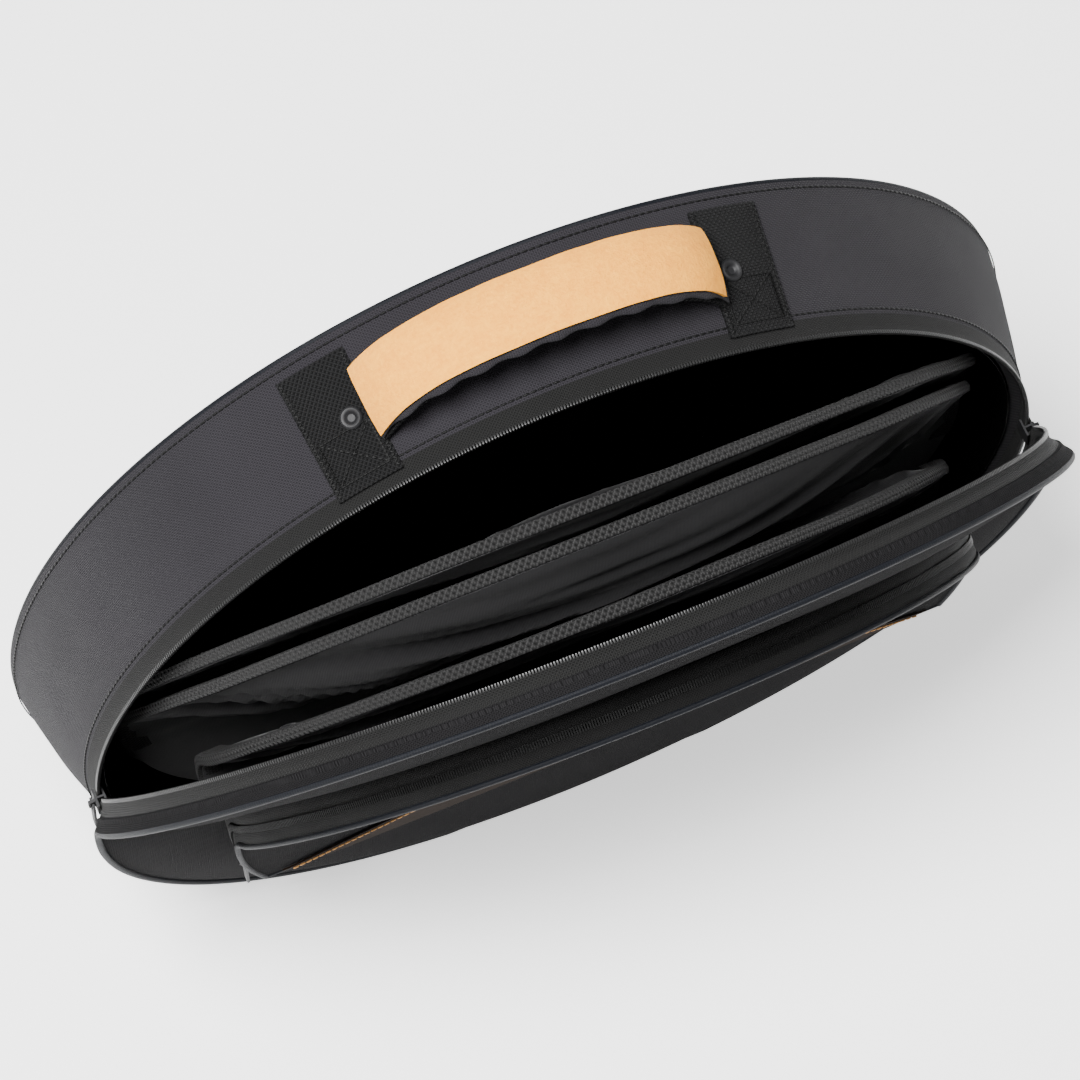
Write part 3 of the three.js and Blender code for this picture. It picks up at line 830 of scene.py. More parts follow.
# ---------------------------------------------------------------------------------------------
# Assemblies
# ---------------------------------------------------------------------------------------------
@dataclass
class Gusset:
    """The padded band round the bag, with its tape, teeth, seams and lining."""

    look: Finishes
    steps: int = 300
    tape: float = 0.012
    overlap: float = 0.0012
    seam: float = 0.0158
    back_seam: float = 0.004
    stitch: float = 0.0042
    thick: float = 0.0076
    lining_inset: float = 0.0086
    tooth_pitch: float = 0.0017

    def ring(self, depth: Callable, inset: float, wave: float, seed: float) -> Place:
        """Formula of a ring layer: depth from v, and swells of `wave` metres.

        Args:
            depth: formula from v to depth behind the zipper plane.
            inset: how far inside the outline.
            wave: height of the swells in metres.
            seed: shifts the pattern.

        Returns:
            The formula.
        """

        def place(u: np.ndarray, v: np.ndarray) -> np.ndarray:
            """Place of each point of the sheet."""
            y = depth(v)
            angle = -u * TAU
            x, z = FORM.outline(angle, FORM.gusset_radius(y), inset)
            p = points(x, y, z)
            swell = ripple(p, 0.09, seed, (1, 0.6, 1)) * 0.7 + ripple(p, 0.035, seed + 9) * 0.3
            belly = np.sin(np.pi * np.clip(v, 0, 1))
            grow = wave * (swell * belly + 0.5 * belly)
            # the loose lining gathers in narrow folds beside the opening
            beside = np.exp(-(((p[:, 2] - FORM.centre - 0.07) / 0.09) ** 2)) * belly * (wave < 0)
            grow = grow - 0.0022 * beside * (1 + ripple(p, 0.011, seed + 2, (1, 7, 1)))
            lift = np.where(p[:, 2] < 0.02, 0.0, grow)
            away = radial(p)
            return p + away / np.linalg.norm(away, axis=1)[:, None] * lift[:, None]

        return place

    def build(self) -> None:
        """Makes the gusset, tape, teeth and lining."""
        around = TAU * FORM.zip_radius
        deep = lambda v: self.tape + 0.0002 + (FORM.depth - self.tape) * v
        cover = tailored("gusset_wall", self.steps, 26, self.ring(deep, 0, 0.0022, 3.0),
                         (around, FORM.depth), True, self.thick, Way.INWARD, radial)
        finish_piece(cover, self.look, "canvas", "canvas", "gusset_cover", "gusset_foam")
        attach(cover, "bag_body")
        shape = self.ring(deep, self.lining_inset, -0.0025, 11.0)
        inner = tailored("gusset_lining_cloth", self.steps, 20, shape, (around, FORM.depth), True, LINING,
                         Way.INWARD, radial)
        finish_piece(inner, self.look, "lining_painted_shade", "lining", "gusset_lining")
        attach(inner, "bag_body")
        strip = lambda v: TAPE_EDGE + (self.tape + self.overlap - TAPE_EDGE) * v
        tape = tailored("gusset_zip_tape", self.steps, 6, self.ring(strip, -0.0004, 0, 0),
                        (around, self.tape), True, TAPE, Way.INWARD, radial)
        finish_piece(tape, self.look, "zip_tape", "tape", "gusset_tape")
        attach(tape, "bag_body")
        angle = np.linspace(0, -TAU, 720)
        self.seam_row("gusset_seam", angle, self.seam, 0.0006)
        self.seam_row("gusset_back_seam", angle, FORM.depth - self.back_seam, 0.001)
        self.teeth("gusset_teeth", angle, TOOTH_MIDDLE)

    def seam_row(self, name: str, angle: np.ndarray, y: float, lift: float) -> None:
        """A row of black top-stitches round the gusset at one depth.

        Args:
            name: the piece's name.
            angle: angles round the disc, in radians.
            y: depth behind the zipper plane.
            lift: how far the stitches stand out.
        """
        x, z = FORM.outline(angle, FORM.gusset_radius(np.full_like(angle, y)))
        route = points(x, y, z)
        places, along = spread(route, self.stitch)
        up = radial(places)
        up /= np.linalg.norm(up, axis=1)[:, None]
        keep = places[:, 2] > 0.004
        size = (self.stitch * 0.72, 0.0009, 0.0007)
        obj = row(name, (places + up * lift)[keep], along[keep], up[keep], size)
        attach(finish_piece(obj, self.look, "thread", "webbing"), "bag_body")

    def teeth(self, name: str, angle: np.ndarray, y: float) -> None:
        """Coil teeth along the gusset's side of the zipper.

        Args:
            name: the piece's name.
            angle: angles round the disc, in radians.
            y: depth behind the zipper plane.
        """
        x, z = FORM.outline(angle, np.full_like(angle, FORM.zip_radius - TOOTH_SINK))
        places = spread(points(x, y, z), self.tooth_pitch)[0]
        up = radial(places)
        across = np.tile([0.0, 1.0, 0.0], (len(places), 1))
        keep = places[:, 2] > 0.0015
        obj = row(name, places[keep], across[keep], up[keep], TOOTH, False)
        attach(finish_piece(obj, self.look, "coil", "coil", "gusset_coil"), "bag_body")


@dataclass
class BackPanel:
    """Flat padded back with its piping and dark lining."""

    look: Finishes
    edge_inset: float = 0.0092
    lining_radius: float = 0.3065
    lining_inset: float = 0.0085
    thick: float = 0.0072
    cord: float = 0.0019

    def disc(self, y: float, radius: float, wave: float, seed: float) -> Place:
        """Formula of a filled outline at one depth, drawn in rings from its middle.

        Args:
            y: depth behind the zipper plane.
            radius: its outer radius.
            wave: height of the swells in metres.
            seed: shifts the pattern.

        Returns:
            The formula.
        """

        def place(u: np.ndarray, v: np.ndarray) -> np.ndarray:
            """Place of each point of the sheet."""
            x, z = FORM.outline(-u * TAU, np.full_like(u, radius), self.edge_inset)
            p = points(x * v, y, FORM.centre + (z - FORM.centre) * v)
            p[:, 1] += wave * ripple(p, 0.11, seed) * (1 - v**6)
            return p

        return place

    def build(self) -> None:
        """Makes the padded back, its lining and its piping."""
        size = (TAU * 0.3, 0.3)
        back = tailored("back_wall", 160, 40, self.disc(FORM.depth, FORM.back_radius, 0.0, 5), size,
                        True, self.thick, Way.INWARD, backward)
        flat_map(back)
        finish_piece(back, self.look, "canvas", "canvas", "back_cover", "back_foam")
        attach(back, "bag_body")
        shape = self.disc(FORM.depth - self.lining_inset, self.lining_radius, 0.003, 7)
        lining = tailored("back_lining_cloth", 160, 40, shape, size, True, LINING, Way.INWARD, forward)
        flat_map(lining)
        finish_piece(lining, self.look, "lining_painted_shade", "lining", "back_lining")
        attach(lining, "bag_body")
        angle = np.linspace(0, -TAU, 361)[:-1]
        x, z = FORM.outline(angle, np.full_like(angle, FORM.back_radius), self.cord)
        piping = bead("back_bead", points(x, FORM.depth + 0.0014, z), self.cord, True)
        finish_piece(piping, self.look, "piping", "piping", "back_piping")
        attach(piping, "bag_body")


@dataclass
class Front:
    """Lower front and folded lid as continuous cloth, with lip, tape, teeth and piping."""

    look: Finishes
    tooth_pitch: float = 0.0017
    cover_inset: float = 0.0012
    thick: float = 0.0078
    lining_inset: float = 0.0125
    lining_back: float = 0.0092
    cord: float = 0.0021

    def panel(self, inset: float, back: float, wave: float, seed: float, crease: float) -> Place:
        """Formula of the front panel set back by `back` and folded at the lid's hinge.

        Args:
            inset: how far inside the outline.
            back: how far behind the outer face.
            wave: height of the swells in metres.
            seed: shifts the pattern.
            crease: height of the creases at the fold.

        Returns:
            The formula.
        """

        def place(u: np.ndarray, v: np.ndarray) -> np.ndarray:
            """Place of each point of the sheet."""
            v = 1 - (1 - v) ** 1.3
            x, z = FORM.outline(-u * TAU, np.full_like(u, FORM.front_radius), inset)
            x, z = x * v, FORM.centre + (z - FORM.centre) * v
            p = points(x, back - FORM.rim(z) - FORM.dome(x, z), z)
            calm_rim = 1 - v**8
            near = np.exp(-(((z - FORM.fold) / 0.035) ** 2))
            p[:, 1] += wave * ripple(p, 0.10, seed, (1.6, 1, 0.8)) * calm_rim
            p[:, 1] -= crease * near * ripple(p, 0.022, seed + 4, (5, 1, 0.8)) * calm_rim
            return FORM.open_lid(p)

        return place

    def lip(self, share: tuple, inset: float, wave: float) -> Place:
        """Formula of a ring of the lip between two shares of its depth.

        Args:
            share: first and last share of the depth, 0 to 1.
            inset: how far inside the outline.
            wave: height of the swells in metres.

        Returns:
            The formula.
        """

        def place(u: np.ndarray, v: np.ndarray) -> np.ndarray:
            """Place of each point of the sheet."""
            angle = -u * TAU
            z = FORM.outline(angle, np.full_like(u, FORM.zip_radius))[1]
            deep = FORM.rim(z) - TAPE_EDGE
            y = -(TAPE_EDGE + deep * (share[0] + (share[1] - share[0]) * v))
            x, z = FORM.outline(angle, FORM.lip_radius(y, z), inset)
            p = points(x, y, z)
            away = radial(p)
            away /= np.linalg.norm(away, axis=1)[:, None]
            grow = wave * np.sin(np.pi * v) * (1 + ripple(p, 0.03, 21.0))
            return FORM.open_lid(p + away * grow[:, None])

        return place

    def build(self) -> None:
        """Makes the front's cloth, piping and teeth."""
        size = (TAU * 0.3, 0.3)
        wall = tailored("front_wall", 240, 90, self.panel(self.cover_inset, 0.0, 0.0022, 31, 0.0016), size,
                        True, self.thick, Way.INWARD, forward)
        flat_map(wall)
        finish_piece(wall, self.look, "canvas_painted_shade", "canvas",
                     "lid_cover", "lid_foam", "front_cover", "front_foam")
        bend_with_lid(wall)
        shape = self.panel(self.lining_inset, self.lining_back, 0.002, 47, 0.001)
        lining = tailored("front_lining_cloth", 200, 70, shape, size, True, LINING, Way.INWARD, backward)
        flat_map(lining)
        finish_piece(lining, self.look, "lining", "lining", "lid_lining", "front_lining")
        bend_with_lid(lining)
        around = TAU * FORM.zip_radius
        tape = tailored("front_zip_tape", 300, 6, self.lip((0, 0.5), -0.0004, 0.0), (around, 0.008),
                        True, TAPE, Way.INWARD, radial)
        finish_piece(tape, self.look, "zip_tape", "tape", "lid_tape", "front_tape")
        bend_with_lid(tape)
        cover = tailored("front_lip", 300, 10, self.lip((0.42, 1.0), 0, 0.0004), (around, 0.012),
                         True, 0.0016, Way.INWARD, radial)
        finish_piece(cover, self.look, "canvas_painted_shade", "canvas", "lid_gusset", "front_gusset")
        bend_with_lid(cover)
        angle = np.linspace(0, -TAU, 361)[:-1]
        x, z = FORM.outline(angle, np.full_like(angle, FORM.front_radius - 0.0004), 0.0012)
        route = FORM.open_lid(points(x, -FORM.rim(z) - 0.0016, z))
        piping = bead("front_bead", route, self.cord, True)
        finish_piece(piping, self.look, "piping", "piping", "lid_piping", "front_piping")
        bend_with_lid(piping)
        start = math.asin((FORM.fold - FORM.centre + 0.009) / FORM.zip_radius)
        self.teeth("lid_teeth", np.linspace(math.pi - start, start, 400), "lid", "lid_coil")
        low = math.asin((FORM.fold - FORM.centre - 0.003) / FORM.zip_radius)
        self.teeth("front_teeth", np.linspace(math.pi - low, TAU + low, 400), "bag_body", "front_coil")

    def teeth(self, name: str, angle: np.ndarray, body: str, node: str) -> None:
        """Coil teeth along the front's side of the zipper, over one stretch.

        Args:
            name: the piece's name.
            angle: angles round the disc, in radians.
            body: the body that they ride on.
            node: the frame node that they stand for.
        """
        x, z = FORM.outline(angle, np.full_like(angle, FORM.zip_radius - TOOTH_SINK))
        places = spread(points(x, -TOOTH_MIDDLE, z), self.tooth_pitch)[0]
        up = radial(places)
        across = np.tile([0.0, 1.0, 0.0], (len(places), 1))
        if body == "lid":
            # the lid's teeth turn rigidly with it, so that they stay clear of the gusset's at the fold
            foot = FORM.open_lid(places, SHARP)
            up = FORM.open_lid(places + up * 0.01, SHARP) - foot
            across = FORM.open_lid(places + across, SHARP) - foot
            places = foot
        keep = places[:, 2] > 0.0015
        obj = row(name, places[keep], across[keep], up[keep], TOOTH, False)
        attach(finish_piece(obj, self.look, "coil", "coil", node), body)


@dataclass
class Divider:
    """One padded divider, sewn in below and leaning with the lid above, with a bound edge."""

    look: Finishes
    name: str
    y: float
    radius: float
    lean: float
    seed: float
    belly: float = 0.0
    slack: float = 0.015
    tail: float = 0.06
    foot: float = 0.0125
    reach: float = 0.03
    nose: float = 0.22

    def panel(self, u: np.ndarray, v: np.ndarray) -> np.ndarray:
        """Formula of the divider's cloth with long soft folds across it.

        Args:
            u: place along, 0 to 1, at each point.
            v: place across, 0 to 1, at each point.

        Returns:
            The points.
        """
        x, z = FORM.outline(-u * TAU, np.full_like(u, self.radius), 0.0)
        z = np.maximum(z, self.foot)
        x, z = x * v, FORM.centre + (z - FORM.centre) * v
        p = points(x, self.y - 0.0018, z)
        high = smooth((z - FORM.fold + 0.06) / 0.12)
        fold = ripple(p, 0.030, self.seed, (7, 1, 0.8)) * 0.7
        fold = fold + ripple(p, 0.012, self.seed + 5, (9, 1, 0.8)) * 0.25
        bow = np.sin(np.pi * np.clip((1 - v) / 0.62, 0, 1)) * high
        side = x / self.radius
        p[:, 1] += fold * self.slack * (1 + side**2) * high * (1 - v**10) - self.belly * bow * (1 - side**4)
        return FORM.turn(p, self.y, self.lean, self.reach)

    def edge(self, u: np.ndarray, v: np.ndarray) -> np.ndarray:
        """Formula of the tape folded over the divider's top edge.

        Args:
            u: place along, 0 to 1, at each point.
            v: place across, 0 to 1, at each point.

        Returns:
            The points.
        """
        start = math.asin((FORM.fold - FORM.centre - self.tail) / self.radius)
        angle = math.pi - start - (math.pi - 2 * start) * u
        turn = (v - 0.5) * 2
        drop = 0.012 * np.maximum(0, np.abs(turn) - self.nose) / (1 - self.nose)
        side = 0.0031 * np.sin(np.clip(turn / self.nose, -1, 1) * math.pi / 2)
        round_off = np.sqrt(np.maximum(0, 1 - np.minimum(1, np.abs(turn) / self.nose) ** 2))
        r = self.radius + 0.0024 * round_off - drop
        x, z = FORM.outline(angle, r)
        p = points(x, self.y + side, z)
        p[:, 1] += 0.0009 * ripple(p, 0.05, self.seed + 3, (3, 1, 1))
        return FORM.turn(p, self.y, self.lean, self.reach)

    def build(self) -> None:
        """Makes the divider and its binding."""
        body = f"divider_{self.name}"
        panel = tailored(f"{body}_cloth", 180, 60, self.panel, (1, 1), True, 0.0036, Way.MIDDLE, forward)
        flat_map(panel)
        finish_piece(panel, self.look, "lining", "lining", f"{body}_panel", f"{body}_base")
        bend(panel)
        binding = tailored(f"{body}_edge", 160, 14, self.edge, (math.pi * self.radius, 0.028), False,
                           LINING, Way.OUTWARD, radial)
        finish_piece(binding, self.look, "binding", "webbing", f"{body}_binding")
        bend(binding)


@dataclass
class Pocket:
    """Half-round pocket: band, face, flap, zipper, piping and accent."""

    look: Finishes
    flap_line: float = 0.026
    tooth_pitch: float = 0.0015
    arch: float = 0.042
    arch_half: float = 0.205
    inner_share: tuple = (0.0, 0.43)
    outer_share: tuple = (0.57, 1.0)
    cord: float = 0.0017
    stand_off: float = 0.0004
    stitch: float = 0.0042

    def __post_init__(self) -> None:
        """Works out the pocket's depths and angles from the bag's form."""
        self.base = float(FORM.dome(np.array([FORM.pocket_radius]), np.array([FORM.centre]))[0])
        self.corner = math.asin(FORM.pocket_drop / (FORM.pocket_radius * FORM.sag))
        self.front = self.base + FORM.pocket_depth + 0.0003
        self.accent_foot = FORM.centre - FORM.pocket_drop + 0.004

    def face_depth(self, x: np.ndarray, z: np.ndarray) -> np.ndarray:
        """Depth of the pocket's face before the zipper plane.

        Args:
            x: x of each point.
            z: height of each point.

        Returns:
            The depth at each point.
        """
        h = z - FORM.centre
        rho = np.minimum(1, np.hypot(x, np.where(h < 0, h / FORM.sag, h)) / FORM.pocket_radius)
        return -FORM.rim(z) - self.front - FORM.pocket_bulge * (1 - rho**4)

    def arc(self, low: bool, side: int = 0) -> tuple:
        """Angles of the band: the flap's part, or one side's part below the flap line.

        Args:
            low: the part below the flap line.
            side: -1 for left and 1 for right.

        Returns:
            First and last angle, in radians.
        """
        top = math.asin((FORM.fold - FORM.centre + self.flap_line) / FORM.pocket_radius)
        if not low:
            return math.pi - top, top
        return (math.pi + self.corner, math.pi - top) if side < 0 else (top, -self.corner)

    def band(self, arc: tuple, share: tuple, wave: float = 0.0008) -> Place:
        """Formula of a stretch of the band between two shares of its depth.

        Args:
            arc: first and last angle.
            share: first and last share of the depth, 0 to 1.
            wave: height of the swells in metres.

        Returns:
            The formula.
        """

        def place(u: np.ndarray, v: np.ndarray) -> np.ndarray:
            """Place of each point of the sheet."""
            angle = arc[0] + (arc[1] - arc[0]) * u
            x, z = FORM.outline(angle, np.full_like(u, FORM.pocket_radius))
            deep = share[0] + (share[1] - share[0]) * v
            p = points(x, -FORM.rim(z) - self.base - FORM.pocket_depth * deep, z)
            away = radial(p)
            away /= np.linalg.norm(away, axis=1)[:, None]
            belly = wave * (np.sin(np.pi * v) + ripple(p, 0.03, 61))
            return FORM.open_lid(p + away * belly[:, None], POCKET_REACH)

        return place

    def face(self, low: bool) -> Place:
        """Formula of the pocket's face, below or above the flap line.

        Args:
            low: the part below the flap line.

        Returns:
            The formula.
        """
        line = FORM.fold + self.flap_line
        bottom = FORM.centre - FORM.pocket_drop

        def place(u: np.ndarray, v: np.ndarray) -> np.ndarray:
            """Place of each point of the sheet."""
            if low:
                z = bottom + (line - bottom) * v
                h = z - FORM.centre
                h = np.where(h < 0, h / FORM.sag, h)
                x = (2 * u - 1) * np.sqrt(FORM.pocket_radius**2 - h**2)
            else:
                half = math.sqrt(FORM.pocket_radius**2 - (line - FORM.centre) ** 2)
                x = -half * np.cos(np.pi * u)
                rise = np.maximum(FORM.pocket_radius**2 - x**2, (line - FORM.centre) ** 2)
                top = FORM.centre + np.sqrt(rise)
                z = line + (top - line) * v
            p = points(x, self.face_depth(x, z), z)
            rho = np.hypot(x, z - FORM.centre) / FORM.pocket_radius
            near = np.exp(-(((z - FORM.fold) / 0.04) ** 2))
            crease = 0.002 * near * ripple(p, 0.02, 73, (6, 1, 0.7))
            p[:, 1] -= (0.0016 * ripple(p, 0.07, 71, (2, 1, 0.7)) + crease) * (1 - rho**6)
            return FORM.open_lid(p, POCKET_REACH)

        return place

    def join(self, obj: bpy.types.Object, flap: bool) -> None:
        """Bakes a piece's transform, for a piece of the lid or of the flap.

        Args:
            obj: the object.
            flap: the piece belongs to the flap.
        """
        if not flap:
            bend_with_lid(obj)
            return
        heights = FORM.fold + self.flap_line + np.array([0.001, 0.022])
        ends = FORM.open_lid(points(0.0, -FORM.lip - self.front, heights), SHARP)
        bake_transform(obj)

    def build(self) -> None:
        """Makes the pocket's cloth, piping, zipper and accent."""
        whole = (math.pi + self.corner, -self.corner)
        length = TAU * FORM.pocket_radius * 0.6
        inner = tailored("pocket_band_inner", 200, 6, self.band(whole, self.inner_share),
                         (length, 0.011), False, TAPE, Way.INWARD, radial)
        finish_piece(inner, self.look, "zip_tape", "tape", "pocket_inner_band")
        self.join(inner, False)
        flap_band = tailored("flap_band_cloth", 200, 6, self.band(self.arc(False), self.outer_share),
                             (length, 0.011), False, TAPE, Way.INWARD, radial)
        finish_piece(flap_band, self.look, "zip_tape", "canvas", "flap_band")
        self.join(flap_band, True)
        for side, tag in ((-1, "left"), (1, "right")):
            part = tailored(f"pocket_band_{tag}", 40, 6, self.band(self.arc(True, side), self.outer_share),
                            (0.11, 0.011), False, TAPE, Way.INWARD, radial)
            finish_piece(part, self.look, "zip_tape", "canvas")
            self.join(part, False)
            self.bead_and_teeth(tag, self.arc(True, side), f"pocket_chain_{tag}")
        self.build_bottom()
        low = tailored("pocket_face", 120, 50, self.face(True), (0.5, 0.13), False, CANVAS,
                       Way.INWARD, forward)
        flat_map(low)
        finish_piece(low, self.look, "canvas_painted_shade", "canvas", "pocket_front", "pocket_wall")
        self.join(low, False)
        flap = tailored("flap_face", 120, 60, self.face(False), (0.5, 0.2), False, CANVAS,
                        Way.INWARD, forward)
        flat_map(flap)
        finish_piece(flap, self.look, "canvas_painted_shade", "canvas", "flap_front")
        self.join(flap, True)
        self.build_flap_zip()
        self.build_accent()

    def build_bottom(self) -> None:
        """Straight wall under the pocket and the piping along it."""
        x_end = FORM.pocket_radius * math.cos(self.corner)
        z = FORM.centre - FORM.pocket_drop

        def place(u: np.ndarray, v: np.ndarray) -> np.ndarray:
            """Place of each point of the sheet."""
            x = (2 * u - 1) * x_end
            start = -FORM.rim(np.full_like(u, z)) - FORM.dome(x, np.full_like(u, z))
            end = -FORM.rim(np.full_like(u, z)) - self.front
            return points(x, start + (end - start) * v, z - 0.001 * np.sin(np.pi * v))

        down = lambda p: np.tile([0.0, 0.0, -1.0], (len(p), 1))
        wall = tailored("pocket_bottom", 60, 6, place, (x_end * 2, 0.03), False, CANVAS, Way.INWARD, down)
        finish_piece(wall, self.look, "canvas_painted_shade", "canvas")
        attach(wall, "bag_body")
        x = np.linspace(-x_end, x_end, 60)
        route = points(x, -FORM.rim(np.full_like(x, z)) - self.front + 0.0006, z)
        piping = bead("pocket_bottom_bead", route, 0.0016)
        finish_piece(piping, self.look, "piping", "piping", "pocket_piping")
        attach(piping, "bag_body")

    def route(self, arc: tuple, deep: float) -> np.ndarray:
        """Route along the band at one share of its depth.

        Args:
            arc: first and last angle.
            deep: share of the band's depth, 0 to 1.

        Returns:
            The points of the route.
        """
        angle = np.linspace(arc[0], arc[1], 200)
        x, z = FORM.outline(angle, np.full_like(angle, FORM.pocket_radius + self.stand_off))
        y = -FORM.rim(z) - self.base - FORM.pocket_depth * deep
        return FORM.open_lid(points(x, y, z), POCKET_REACH)

    def bead_and_teeth(self, tag: str, arc: tuple, node: str) -> None:
        """Piping and closed zipper chain of one lower side.

        Args:
            tag: left or right, in the names.
            arc: first and last angle.
            node: the frame node that the chain stands for.
        """
        piping = bead(f"pocket_bead_{tag}", self.route(arc, 1.0), self.cord)
        finish_piece(piping, self.look, "piping", "piping")
        self.join(piping, False)
        places = spread(self.route(arc, 0.5), self.tooth_pitch)[0]
        size = (0.0046, 0.001, 0.0016)
        obj = row(f"pocket_teeth_{tag}", places, self.across(places), radial(places), size, False)
        finish_piece(obj, self.look, "thread", "coil", node)
        self.join(obj, False)

    @staticmethod
    def across(places: np.ndarray) -> np.ndarray:
        """Direction across the pocket's zipper at each place."""
        w = smooth((places[:, 2] - FORM.fold + POCKET_REACH) / (2 * POCKET_REACH)) * FORM.open_angle
        return points(np.zeros(len(places)), np.cos(w), np.sin(w))

    def build_flap_zip(self) -> None:
        """Upper piping, and the two rows of teeth that meet in the band's middle."""
        arc = self.arc(False)
        piping = bead("flap_bead", self.route(arc, 1.0), self.cord)
        finish_piece(piping, self.look, "piping", "piping", "flap_piping")
        self.join(piping, True)
        for name, deep, node, flap in (("flap_teeth", 0.545, "flap_coil", True),
                                       ("pocket_inner_teeth", 0.455, "pocket_inner_coil", False)):
            places = spread(self.route(arc, deep), self.tooth_pitch)[0]
            size = (0.0024, 0.001, 0.0016)
            obj = row(name, places, self.across(places), radial(places), size, False)
            finish_piece(obj, self.look, "thread", "coil", node)
            if flap:
                self.join(obj, True)
            else:
                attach(obj, "lid")

    def border(self, x: np.ndarray) -> np.ndarray:
        """Height of the accent's low arched border."""
        return self.accent_foot + self.arch * (1 - np.minimum(1, np.abs(x / self.arch_half)) ** 1.6)

    def build_accent(self) -> None:
        """Napped low arch sewn on the face, with a tan top-stitch along its border."""

        def place(u: np.ndarray, v: np.ndarray) -> np.ndarray:
            """Place of each point of the sheet."""
            x = (2 * u - 1) * self.arch_half
            top = np.maximum(self.border(x), self.accent_foot + 0.001)
            z = self.accent_foot + (top - self.accent_foot) * v
            return FORM.open_lid(points(x, self.face_depth(x, z) - 0.0016, z), POCKET_REACH)

        size = (2 * self.arch_half, self.arch)
        panel = tailored("accent_patch", 90, 30, place, size, False, 0.0011, Way.INWARD, forward)
        flat_map(panel)
        finish_piece(panel, self.look, "accent", "accent", "pocket_accent")
        self.join(panel, False)
        x = np.linspace(-self.arch_half + 0.006, self.arch_half - 0.006, 400)
        z = self.border(x) - 0.003
        route = FORM.open_lid(points(x, self.face_depth(x, z) - 0.0019, z), POCKET_REACH)
        places, along = spread(route, self.stitch)
        obj = row("accent_stitch", places, along, forward(places), (0.0031, 0.0009, 0.0009))
        finish_piece(obj, self.look, "tan_thread", "suede")
        self.join(obj, False)


@dataclass
class Handle:
    """Webbing patches, strap, padded underside and napped sleeve of the carry handle."""

    look: Finishes
    span: float = math.radians(19)
    y: float = 0.0435
    width: float = 0.038
    rise: float = 0.024
    patch: tuple = (math.radians(18.4), math.radians(26))
    patch_depth: tuple = (0.009, 0.078)
    rivet: float = math.radians(20.8)
    hinge_x: float = 0.0985
    grip_x: float = 0.080
    hinge_z: float = 0.536
    stitch_out: float = 0.0036

    def radius(self, u: np.ndarray, y: np.ndarray) -> np.ndarray:
        """Radius of the strap's underside along its span, u from -1 to 1."""
        lifted = FORM.gusset_radius(np.full_like(u, self.y)) + self.rise
        return 0.0030 + lifted + (FORM.gusset_radius(y) - lifted) * np.abs(u) ** 4

    def layer(self, side: int, reach: float, lift: Callable, width: Callable) -> Place:
        """Formula of half a handle layer, from the middle to one end.

        Args:
            side: -1 for left and 1 for right.
            reach: how far along the half span it goes.
            lift: formula of its height over the strap.
            width: formula of its width.

        Returns:
            The formula.
        """

        def place(u: np.ndarray, v: np.ndarray) -> np.ndarray:
            """Place of each point of the sheet."""
            s = u * reach
            y = self.y + width(s) * (v - 0.5)
            r = self.radius(s, y) + lift(s, v, y)
            angle = math.pi / 2 - side * self.span * s
            return points(r * np.cos(angle), y, FORM.centre + r * np.sin(angle))

        return place

    def build(self) -> None:
        """Makes the handle's halves, the patches, their stitches and the rivets."""
        for side, tag in ((-1, "left"), (1, "right")):
            self.build_half(side, tag)
            self.build_patch(side, tag)

    def hang(self, obj: bpy.types.Object) -> None:
        """Bakes the transform of half the handle."""
        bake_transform(obj)

    def build_half(self, side: int, tag: str) -> None:
        """Strap, padded underside and sleeve of one half.

        Args:
            side: -1 for left and 1 for right.
            tag: left or right, in the names.
        """
        shape = self.layer(side, 1.02, lambda s, v, y: 0.0 * s, lambda s: self.width + 0 * s)
        strap = tailored(f"strap_{tag}", 50, 8, shape, (0.1, self.width), False, WEBBING, Way.INWARD, radial)
        finish_piece(strap, self.look, "webbing", "webbing", f"strap_end_{tag}",
                     *(("handle_strap",) if side < 0 else ()))
        self.hang(strap)

        def pad_lift(s: np.ndarray, v: np.ndarray) -> np.ndarray:
            """Height of the pad's skin over the strap."""
            turn = v * TAU
            fat = 0.0050 * (1 - 0.35 * np.abs(s) ** 6)
            wrinkle = 0.0012 * np.sin(s * 38 + 1.2 * np.sin(turn)) * (0.5 + 0.5 * np.sin(s * 9 + 2))
            return 0.0046 + (fat + wrinkle * np.abs(np.cos(turn))) * np.sin(turn)

        def pad(u: np.ndarray, v: np.ndarray) -> np.ndarray:
            """Place of each point of the pad's skin."""
            s = u * 0.985
            turn = v * TAU
            wide = np.where(np.cos(turn) < 0, 0.0222, 0.0184) + 0.0009 * np.sin(s * 31 + 2)
            sway = np.sign(np.cos(turn)) * np.abs(np.cos(turn)) ** 0.8
            y = self.y + wide * (1 - 0.16 * np.abs(s) ** 4) * sway
            r = self.radius(s, y) + pad_lift(s, v)
            angle = math.pi / 2 - side * self.span * s
            return points(r * np.cos(angle), y, FORM.centre + r * np.sin(angle))

        swapped = lambda u, v: pad(v, u)
        cushion = tailored(f"grip_pad_{tag}", 40, 90, swapped, (0.09, 0.1), True)
        close_ends(cushion)
        finish_piece(cushion, self.look, "canvas", "foam", *(("handle_pad",) if side < 0 else ()))
        self.hang(cushion)

        def crown(s: np.ndarray, v: np.ndarray, y: np.ndarray) -> np.ndarray:
            """Height of the sleeve over the strap."""
            edge = np.abs(2 * v - 1)
            drop = 0.0040 * edge**2.6
            p = points(s * 0.1, y, 0 * s)
            return 0.0136 - drop - 0.0020 * np.abs(s) ** 8 + 0.0004 * ripple(p, 0.012, 81)

        width = lambda s: (self.width + 0.0016) * (1 - 0.04 * np.abs(s) ** 6 + 0.012 * np.sin(s * 7))
        reach = 0.985 if side < 0 else 0.94
        sleeve = tailored(f"grip_sleeve_{tag}", 90, 36, self.layer(side, reach, crown, width),
                          (0.1, self.width), False, WEBBING, Way.INWARD, radial)
        finish_piece(sleeve, self.look, "suede", "suede", *(("handle_sleeve",) if side < 0 else ()))
        self.hang(sleeve)

